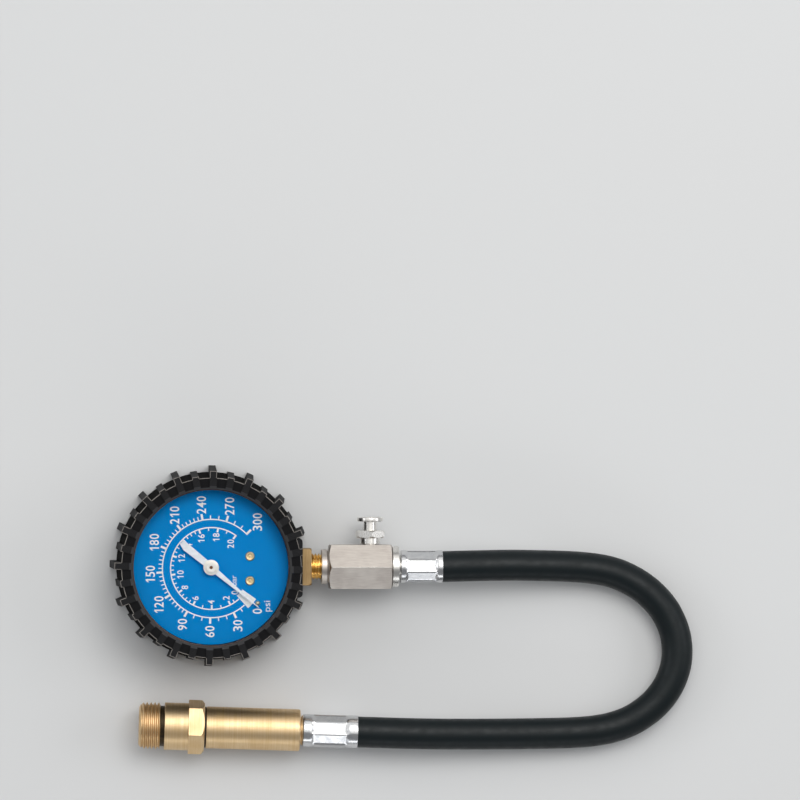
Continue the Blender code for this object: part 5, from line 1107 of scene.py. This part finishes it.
@dataclass
class StemAndBlock(Assembly):
    """The square stem, the hexagonal block and the nipple's flange."""

    square: float = 14.2 * MM
    shoulder: float = 38.9 * MM
    end_chamfer: Point2 = (1.5 * MM, 0.7 * MM)
    neck_radius: float = 5.1 * MM
    thread_end: float = 52.0 * MM
    thread_pitch: float = 1.2 * MM
    thread_depth: float = 0.6 * MM
    block_start: float = 42.8 * MM
    hex_start: float = 45.7 * MM
    block_end: float = 70.0 * MM
    across_flats: float = 17.0 * MM
    collar_radius: float = 6.65 * MM
    valve_place: float = 61.7 * MM
    bore: Point3 = (1.75 * MM, 20.8 * MM, 52.4 * MM)

    def build(self) -> None:
        """Mill the stem, the block and the nipple."""
        self.stem()
        self.block()
        self.nipple()

    def stem(self) -> None:
        """Mill the foot and the square stem, and cut the thread on its neck."""
        half = self.square / 2
        foot = 3.6 * MM
        side = [
            (11.0 * MM, foot), (27.5 * MM, foot), (27.5 * MM, STEM_AXIS - half), (self.shoulder, STEM_AXIS - half),
            (self.shoulder, STEM_AXIS + half), (18.4 * MM, STEM_AXIS + half), (18.4 * MM, 14.5 * MM),
            (11.0 * MM, 14.5 * MM),
        ]
        stem = stamp("milled_stem", side, -half, half)
        settle(stem, Matrix.Rotation(math.pi / 2, 4, "X"))
        corner = half * math.sqrt(2) + 0.1 * MM
        turned = [
            (0.0, -40 * MM), (40 * MM, -40 * MM), (40 * MM, 30 * MM), (corner, 34 * MM),
            (corner, self.shoulder - self.end_chamfer[0]), (corner - 0.1 * MM - self.end_chamfer[1], self.shoulder),
            (0.0, self.shoulder),
        ]
        envelope = turn("envelope", turned, 120)
        settle(envelope, STEM)
        carve(stem, envelope, Cut.KEEP)
        soften(stem, 0.3 * MM, 3, 25.0)
        drill(stem, *self.bore, STEM, 32)
        reach = 2.2 * MM
        slot_middle = 22.5 * MM * math.cos(math.radians(15))
        slot = block_of(
            "slot", (slot_middle - reach, -half - 0.3 * MM, 8.7 * MM), (slot_middle + reach, -3.4 * MM, 16.3 * MM)
        )
        carve(stem, slot, Cut.REMOVE)
        for place in CASE_SCREWS:
            drill(stem, 1.5 * MM, 3 * MM, 9 * MM, place)
        for y in (4.7 * MM, -4.7 * MM):
            drill(stem, 1.2 * MM, 10.2 * MM, 15 * MM, Matrix.Translation((15.0 * MM, y, 0)))
        self.fit(stem, Body.TOOL, "milled_brass", ["socket"])
        neck = threaded_rod(
            "threaded_neck", self.neck_radius, self.thread_depth, self.thread_pitch, self.shoulder, self.thread_end
        )
        settle(neck, STEM)
        drill(neck, *self.bore, STEM, 32)
        self.fit(neck, Body.TOOL, "bright_brass", finish="rolled_brass", smooth=40.0)

    def block(self) -> None:
        """Mill the hexagonal block with its collar, its way through and the valve's port."""
        block = hex_nut("hex_block", self.across_flats, self.hex_start, self.block_end, (0.9 * MM, 0.7 * MM), 0.0)
        self.palette.coat(block, "brushed_nickel", "bright_nickel")
        soften(block, 0.26 * MM, 3, 20.0, 1)
        groove = self.collar_radius - 0.6 * MM
        profile = [
            (0.0, self.block_start), (self.collar_radius, self.block_start),
            (self.collar_radius, self.block_start + 2.4 * MM), (groove, self.block_start + 2.4 * MM),
            (groove, self.hex_start + MM), (0.0, self.hex_start + MM),
        ]
        collar = turn("collar", profile, 96)
        soften(collar, 0.3 * MM, 3)
        carve(block, collar, Cut.JOIN)
        profile = [
            (0.0, self.block_start - MM), (5.4 * MM, self.block_start - MM), (5.4 * MM, 52.3 * MM),
            (2.0 * MM, 52.3 * MM), (2.0 * MM, 65.6 * MM), (5.2 * MM, 65.6 * MM), (5.2 * MM, 71 * MM), (0.0, 71 * MM),
        ]
        way = turn("way", profile, 64)
        carve(block, way, Cut.REMOVE)
        settle(block, STEM)
        sideways = Matrix.Translation((self.valve_place, 0, STEM_AXIS)) @ Matrix.Rotation(-math.pi / 2, 4, "X")
        drill(block, 3.3 * MM, -1.4 * MM, 9 * MM, sideways, 48)
        self.fit(block, Body.TOOL, "brushed_nickel", ["manifold_block"], coated=True, smooth=24.0)

    def nipple(self) -> None:
        """Turn the hose nipple with its flange and barbs."""
        start, flange_end, bore = 65.9 * MM, 72.8 * MM, 1.75 * MM
        barbs: list[Point2] = [(4.2 * MM, flange_end), (4.2 * MM, flange_end + 2.1 * MM)]
        for k in range(3):
            at = flange_end + 2.1 * MM + 4.0 * MM * k
            barbs += [(3.0 * MM, at), (3.0 * MM, at + 1.6 * MM), (3.6 * MM, at + 1.6 * MM)]
        end = flange_end + 14.1 * MM
        flange = 7.9 * MM
        profile = [
            (bore, start), (4.9 * MM, start), (4.9 * MM, 70.3 * MM), (flange, 70.3 * MM), (flange, flange_end),
            *barbs, (3.0 * MM, end), (bore, end), (bore, start),
        ]
        nipple = turn("turned_nipple", profile)
        soften(nipple, 0.2 * MM, 3)
        self.fit(nipple, Body.TOOL, "bright_nickel", ["hose_nipple"], STEM)


@dataclass
class ReleaseValve(Assembly):
    """The push-button valve on the block's side. Heights are from the block's flat."""

    flat: float = 8.5 * MM
    place_x: float = 61.7 * MM
    neck_radius: float = 3.8 * MM
    across_flats: float = 10.4 * MM
    hex_phase: float = math.radians(36)
    hex_low: float = 2.6 * MM
    hex_high: float = 5.5 * MM
    rod_radius: float = 2.5 * MM
    button_radius: float = 5.0 * MM
    button_low: float = 9.0 * MM
    button_high: float = 10.9 * MM

    def build(self) -> None:
        """Turn the valve's body and its plunger."""
        place = Matrix.Translation((self.place_x, self.flat, STEM_AXIS)) @ Matrix.Rotation(-math.pi / 2, 4, "X")
        body = hex_nut(
            "valve_nut", self.across_flats, self.hex_low, self.hex_high, (0.8 * MM, 0.8 * MM), self.hex_phase
        )
        soften(body, 0.14 * MM, 3, 20.0)
        profile = [
            (0.0, -5.2 * MM), (3.0 * MM, -5.2 * MM), (3.0 * MM, 0.3 * MM), (self.neck_radius, 0.3 * MM),
            (self.neck_radius, self.hex_low + 0.4 * MM), (0.0, self.hex_low + 0.4 * MM),
        ]
        foot = turn("foot", profile)
        soften(foot, 0.15 * MM)
        carve(body, foot, Cut.JOIN)
        rod_way, room = 1.0 * MM, 2.25 * MM
        profile = [
            (0.0, -5.5 * MM), (rod_way, -5.5 * MM), (rod_way, -3.2 * MM), (room, -3.2 * MM), (room, 0.5 * MM),
            (2.6 * MM, 0.5 * MM), (2.6 * MM, 5.8 * MM), (0.0, 5.8 * MM),
        ]
        way = turn("way", profile, 64)
        carve(body, way, Cut.REMOVE)
        self.fit(body, Body.TOOL, "bright_nickel", ["release_valve_body"], place, smooth=24.0)
        profile = [
            (0.0, -6.8 * MM), (1.3 * MM, -6.8 * MM), (1.3 * MM, -6.4 * MM), (0.9 * MM, -6.4 * MM),
            (0.9 * MM, 3.3 * MM), (self.rod_radius, 3.3 * MM), (self.rod_radius, self.button_low),
            (self.button_radius, self.button_low), (self.button_radius, self.button_high - 0.4 * MM),
            (self.button_radius * 0.6, self.button_high - 0.12 * MM), (0.0, self.button_high),
        ]
        plunger = turn("turned_plunger", profile)
        soften(plunger, 0.35 * MM, 4)
        self.fit(plunger, Body.BUTTON, "bright_nickel", ["release_plunger"], place)


FAR_AXIS = 10.49 * MM
FAR = Matrix.Translation((57.0 * MM, -64.2 * MM, FAR_AXIS)) @ Euler((0, -math.pi / 2, -FAR_YAW)).to_matrix().to_4x4()


@dataclass
class Hose(Assembly):
    """The hose and the two crimped ferrules on it."""

    radius: float = 6.0 * MM
    ferrule_radius: float = 6.35 * MM
    flats: int = 8
    flat_depth: float = 0.62 * MM
    ridge: float = 0.26 * MM
    ridge_width: float = math.radians(5.0)
    far_turn: float = math.radians(13.6)
    near_turn: float = math.radians(-7)
    near_start: float = 73.6 * MM
    near_length: float = 16.1 * MM
    far_length: float = 21.1 * MM
    tuck: float = 0.5 * MM
    route: Sequence[Point3] = (
        (0.0900, 0.0000, 0.0130), (0.1020, 0.0003, 0.0126), (0.1160, 0.0005, 0.0114), (0.1273, 0.0003, 0.0101),
        (0.1376, 0.0000, 0.0087), (0.1460, -0.0006, 0.0077), (0.1528, -0.0016, 0.0071), (0.1582, -0.0031, 0.0067),
        (0.1633, -0.0054, 0.0064), (0.1680, -0.0083, 0.0063), (0.1723, -0.0120, 0.0062), (0.1760, -0.0163, 0.0062),
        (0.1788, -0.0213, 0.0062), (0.1807, -0.0268, 0.0062), (0.1814, -0.0326, 0.0062), (0.1809, -0.0385, 0.0062),
        (0.1791, -0.0441, 0.0062), (0.1763, -0.0491, 0.0062), (0.1726, -0.0535, 0.0062), (0.1682, -0.0571, 0.0063),
        (0.1634, -0.0600, 0.0063), (0.1583, -0.0620, 0.0064), (0.1528, -0.0634, 0.0065), (0.1462, -0.0643, 0.0067),
        (0.1367, -0.0648, 0.0071), (0.1246, -0.0650, 0.0077), (0.1126, -0.0651, 0.0084), (0.1000, -0.0651, 0.0092),
        (0.0870, -0.0650, 0.0099), (0.0735, -0.0647, 0.0104), (0.0573, -0.0642, 0.0105),
    )

    def build(self) -> None:
        """Lay the hose along its route and crimp the ferrules."""
        self.lay_hose()
        near = self.ferrule("near_crimped_ferrule", self.near_length, (2.2 * MM, self.near_length - 2.3 * MM), 1.1 * MM)
        turned = Matrix.Translation((0, 0, self.near_start)) @ Matrix.Rotation(self.near_turn, 4, "Z")
        self.fit(near, Body.TOOL, "plated_steel", ["near_ferrule"], STEM @ turned, smooth=40.0)
        far = self.ferrule("far_crimped_ferrule", self.far_length, (3.6 * MM, self.far_length - 4.2 * MM), 1.7 * MM)
        turned = Matrix.Rotation(self.far_turn, 4, "Z") @ Matrix.Rotation(math.pi, 4, "X")
        place = FAR @ Matrix.Translation((0, 0, self.far_length)) @ turned
        self.fit(far, Body.TOOL, "plated_steel", ["far_ferrule"], place, smooth=40.0)

    def smooth(self) -> list[Vector]:
        """Run one smooth curve through the route's points.

        Returns:
            Points a few millimetres apart, which start and end just inside the ferrules' mouths.
        """
        route = [Vector(p) for p in self.route]
        ends = [2 * route[0] - route[1], *route, 2 * route[-1] - route[-2]]
        dense = []
        for a, b, c, d in zip(ends, ends[1:], ends[2:], ends[3:]):
            for t in (k / 4 for k in range(4)):
                bend, twist = 2 * a - 5 * b + 4 * c - d, 3 * b - a - 3 * c + d
                dense.append(0.5 * (2 * b + (c - a) * t + bend * t**2 + twist * t**3))
        dense.append(route[-1])
        dense[0] -= (dense[1] - dense[0]).normalized() * self.tuck
        dense[-1] += (dense[-1] - dense[-2]).normalized() * self.tuck
        return dense

    def lay_hose(self) -> None:
        points = self.smooth()
        curve = bpy.data.curves.new("laid_hose", "CURVE")
        curve.dimensions = "3D"
        curve.bevel_depth = self.radius
        curve.bevel_resolution = 10
        curve.use_fill_caps = True
        line = curve.splines.new("POLY")
        line.points.add(len(points) - 1)
        for point, at in zip(line.points, points):
            point.co = (*at, 1)
        line.use_smooth = True
        hose = bpy.data.objects.new("laid_hose", curve)
        bpy.context.scene.collection.objects.link(hose)
        curve.materials.append(self.palette.made["hose_rubber"])
        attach(hose, Body.TOOL.value)
        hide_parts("hose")
        length = sum((b - a).length for a, b in zip(points, points[1:]))
        LOG.info("laid_hose: %.4f m", length)
        self.hose, self.length, self.exit = hose, length, tuple(points[0])

    def declare(self, on_it: Sequence[Piece | str]) -> None:
        """Does nothing: the hose and what is on its far end are not declared here."""

    def ferrule(self, name: str, length: float, crimp: Point2, ramp: float) -> Piece:
        """Press a cup and crimp it with a ring of flat dies.

        Args:
            name: the new piece's name.
            length: from the end wall at height 0 to the mouth.
            crimp: heights between which the dies pressed.
            ramp: how far each end of the pressed part slopes.

        Returns:
            The ferrule, with flats between two round ends.
        """
        outer, inner, wall = self.ferrule_radius, self.radius + 0.03 * MM, 1.0 * MM
        skin = [(outer, length * k / 40) for k in range(41)]
        hole, throat = 4.3 * MM, inner - 0.7 * MM
        inside = [(inner, length), (throat, length - 1.2 * MM), (throat, wall), (hole, wall), (hole, 0.0)]
        cup = turn(name, [(hole, 0.0), *skin, *inside], 128)
        soften(cup, 0.28 * MM, 4, 50.0)
        pitch = math.tau / self.flats
        flat = outer - self.flat_depth
        for vertex in cup.data.vertices:
            x, y, z = vertex.co
            radius = math.hypot(x, y)
            if radius < outer - 0.4 * MM:
                continue
            depth = max(0.0, min(1.0, min(z - crimp[0], crimp[1] - z) / ramp + 0.5))
            depth = depth * depth * (3 - 2 * depth)
            off = (math.atan2(y, x) + pitch / 2) % pitch - pitch / 2
            at_ridge = max(0.0, 1 - (pitch / 2 - abs(off)) / self.ridge_width)
            pressed = min(radius, flat / math.cos(off) + self.ridge * at_ridge * at_ridge)
            scale = 1 + depth * (pressed / radius - 1)
            vertex.co = (x * scale, y * scale, z)
        return cup


@dataclass
class EndFitting(Assembly):
    """The brass sleeve, and the adaptor that screws over its stub. Heights are along its axis."""

    sleeve_start: float = 21.4 * MM
    sleeve_end: float = 58.7 * MM
    sleeve_radius: float = 8.1 * MM
    stub_radius: float = 6.9 * MM
    stub_end: float = 72.3 * MM
    hex_start: float = 59.4 * MM
    hex_end: float = 65.6 * MM
    across_flats: float = 18.6 * MM
    hex_phase: float = math.radians(45.4)
    collar_radius: float = 9.15 * MM
    collar_end: float = 74.9 * MM
    groove_end: float = 76.6 * MM
    groove_radius: float = 7.8 * MM
    end_radius: float = 7.1 * MM
    thread_end: float = 84.8 * MM
    thread_radius: float = 9.0 * MM
    thread_pitch: float = 1.5 * MM
    thread_depth: float = 0.85 * MM
    port_radius: float = 4.2 * MM

    def build(self) -> list[Piece]:
        """Turn both pieces.

        Returns:
            The sleeve and the adaptor.
        """
        return [self.sleeve(), self.adaptor()]

    def sleeve(self) -> Piece:
        """Turn the sleeve with its nipple and stub."""
        start, bore = self.sleeve_start, 1.75 * MM
        barbs: list[Point2] = [(3.0 * MM, start - 14.1 * MM)]
        for k in (2, 1, 0):
            at = start - 2.1 * MM - 4.0 * MM * k
            barbs += [(3.6 * MM, at - 1.6 * MM), (3.0 * MM, at - 1.6 * MM), (3.0 * MM, at)]
        profile = [
            (bore, start - 14.1 * MM), *barbs, (4.2 * MM, start - 2.1 * MM), (4.2 * MM, start), (5.8 * MM, start),
            (5.8 * MM, start + 0.4 * MM), (5.2 * MM, start + 0.4 * MM), (5.2 * MM, start + 0.9 * MM),
            (self.sleeve_radius - 0.5 * MM, start + 0.9 * MM), (self.sleeve_radius, start + 1.3 * MM),
            (self.sleeve_radius, self.sleeve_end), (self.stub_radius, self.sleeve_end),
            (self.stub_radius, self.stub_end - 0.8 * MM), (self.stub_radius - 0.8 * MM, self.stub_end),
            (2.7 * MM, self.stub_end), (2.7 * MM, 44.4 * MM), (bore, 43.4 * MM), (bore, start - 14.1 * MM),
        ]
        sleeve = turn("turned_sleeve", profile, 128)
        soften(sleeve, 0.15 * MM, 3, 25.0)
        self.fit(sleeve, Body.TOOL, "bright_brass", ["end_fitting"], FAR)
        return sleeve

    def adaptor(self) -> Piece:
        """Mill the hexagon, turn the collar, cut the thread and bore it through."""
        adaptor = hex_nut(
            "threaded_adaptor", self.across_flats, self.hex_start, self.hex_end, (1.2 * MM, 0.0), self.hex_phase
        )
        soften(adaptor, 0.2 * MM, 3, 20.0)
        inset = 0.6 * MM
        profile = [
            (0.0, self.hex_end - inset), (self.collar_radius, self.hex_end - inset),
            (self.collar_radius, self.collar_end), (self.groove_radius, self.collar_end),
            (self.groove_radius, self.groove_end + inset), (0.0, self.groove_end + inset),
        ]
        collar = turn("collar", profile, 128)
        soften(collar, 0.22 * MM, 3)
        carve(adaptor, collar, Cut.JOIN)
        thread = threaded_rod(
            "thread", self.thread_radius, self.thread_depth, self.thread_pitch, self.groove_end, self.thread_end
        )
        profile = [
            (0.0, self.groove_end - MM), (self.thread_radius - 0.5 * MM, self.groove_end - 0.1 * MM),
            (self.thread_radius + 0.2 * MM, self.groove_end + 0.5 * MM),
            (self.thread_radius + 0.2 * MM, self.thread_end - 1.9 * MM),
            (self.thread_radius - 0.6 * MM, self.thread_end - 0.9 * MM),
            (self.end_radius + 0.8 * MM, self.thread_end - 0.3 * MM), (self.end_radius, self.thread_end + 0.05 * MM),
            (0.0, self.thread_end + 0.05 * MM),
        ]
        lead = turn("lead", profile, 120)
        carve(thread, lead, Cut.KEEP)
        carve(adaptor, thread, Cut.JOIN)
        stub = self.stub_radius + 0.3 * MM
        profile = [
            (0.0, self.hex_start - MM), (stub, self.hex_start - MM), (stub, self.stub_end + 0.3 * MM),
            (self.port_radius, self.stub_end + 0.3 * MM), (self.port_radius, self.thread_end + MM),
            (0.0, self.thread_end + MM),
        ]
        bore = turn("bore", profile)
        carve(adaptor, bore, Cut.REMOVE)
        self.palette.coat(adaptor, "bright_brass", "groove_painted_shade_brass")
        # Faces in the groove before the thread take its painted shade
        for face in adaptor.data.polygons:
            x, y, z = face.center
            in_groove = self.collar_end - 0.05 * MM < z < self.groove_end + 0.4 * MM
            face.material_index = int(in_groove and stub < math.hypot(x, y) < self.groove_radius + 0.6 * MM)
        self.fit(adaptor, Body.ADAPTOR, "bright_brass", ["m18_adaptor"], FAR, coated=True, smooth=30.0)
        return adaptor


@dataclass
class Studio:
    """A pale floor, soft lights and the photograph's camera."""

    eye: Point3 = (-0.039, 0.060, 2.014)
    window_centre: Point3 = (0.0733, 0.0645, 0.014)
    view_width: float = 800 * 0.387 * MM
    sensor: float = 36.0
    floor_size: float = 6.0
    floor_colour: str = "#cfd1d2"

    def build(self) -> None:
        """Set the camera, the floor and the lights."""
        self.set_camera()
        self.set_floor()
        self.set_lights()
        bpy.context.scene.view_settings.view_transform = "Standard"

    def set_camera(self) -> None:
        """Look straight down with +Y up. The photograph is a part of a wider one, so the lens is shifted."""
        camera = bpy.data.cameras.new("camera")
        aside = Vector(self.window_centre) - Vector(self.eye)
        camera.sensor_width = self.sensor
        camera.lens = self.sensor * -aside.z / self.view_width
        camera.shift_x, camera.shift_y = aside.x / self.view_width, aside.y / self.view_width
        camera.clip_end = 20.0
        holder = bpy.data.objects.new("camera", camera)
        holder.location = self.eye
        bpy.context.scene.collection.objects.link(holder)
        bpy.context.scene.camera = holder

    def set_floor(self) -> None:
        """Lay the floor just under the boot's back."""
        deselect()
        bpy.ops.mesh.primitive_plane_add(size=self.floor_size, location=(0, 0, -0.05 * MM))
        floor = named("floor")
        paint = SmoothCoat("matt_floor", self.floor_colour, 0.85, shade="#d1d1d1", patch_size=0.2)
        floor.data.materials.append(paint.make())

    def set_lights(self) -> None:
        """Hang a key above the far side, a pale tent from overhead down to it, low panels, and a dim room."""
        for name, place, size, power, warmth in (
            ("key", (0.30, 0.46, 1.10), (0.75, 0.60), 5.4, (1.0, 0.985, 0.96)),
            ("overhead", (0.06, 0.50, 2.60), (4.4, 1.9), 19.8, (1.0, 0.995, 0.98)),
            ("far_tent", (0.06, 1.70, 1.42), (4.0, 1.7), 16.3, (1.0, 0.99, 0.97)),
            ("near_strip", (0.05, -1.20, 0.42), (1.6, 0.25), 2.8, (0.96, 0.98, 1.0)),
            ("left_panel", (-1.25, 0.20, 0.70), (0.9, 0.6), 4.2, (0.97, 0.98, 1.0)),
            ("right_panel", (1.35, 0.20, 0.75), (0.9, 0.6), 4.2, (0.97, 0.98, 1.0)),
        ):
            light = bpy.data.lights.new(name, "AREA")
            light.shape = "RECTANGLE"
            light.size, light.size_y = size
            light.energy = power
            light.color = warmth
            holder = bpy.data.objects.new(name, light)
            aim = Vector(place) - Vector((0.06, -0.03, 0.0))
            holder.location = place
            holder.rotation_euler = aim.to_track_quat("Z", "Y").to_euler()
            bpy.context.scene.collection.objects.link(holder)
        world = bpy.data.worlds.new("room")
        bpy.context.scene.world = world
        world.use_nodes = True
        world.node_tree.nodes["Background"].inputs["Color"].default_value = (0.95, 0.97, 1.0, 1.0)
        world.node_tree.nodes["Background"].inputs["Strength"].default_value = 0.25


def dress_cad_nodes(frame: dict, palette: Palette) -> None:
    """Give every CAD node the finish of its slot, for those that no piece replaces."""
    slots = {part["node"]: part["material_slot"] for part in frame["record"]["subparts"]}
    for name, node in frame["nodes"].items():
        palette.coat(node, slots[name])
    palette.coat(frame["nodes"]["pinion_arbor"], "arbor_bronze")


def main() -> None:
    """Build the tool around the frame, piece by piece."""
    logging.basicConfig(level=logging.INFO, format="%(message)s")
    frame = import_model()
    palette = Palette()
    palette.build()
    dress_cad_nodes(frame, palette)
    Studio().build()
    Boot(palette).build()
    Case(palette).build()
    Dial(palette).build()
    StemAndBlock(palette).build()
    ReleaseValve(palette).build()
    hose = Hose(palette)
    hose.build()
    fitting = EndFitting(palette).build()
    inside = ["valve_core", "valve_core_pin", "valve_core_spring", "adaptor_seal"]
    far_ferrule = bpy.data.objects["far_crimped_ferrule"]
    hose.declare([far_ferrule, *fitting, *(frame["nodes"][name] for name in inside)])


if __name__ == "__main__":
    main()
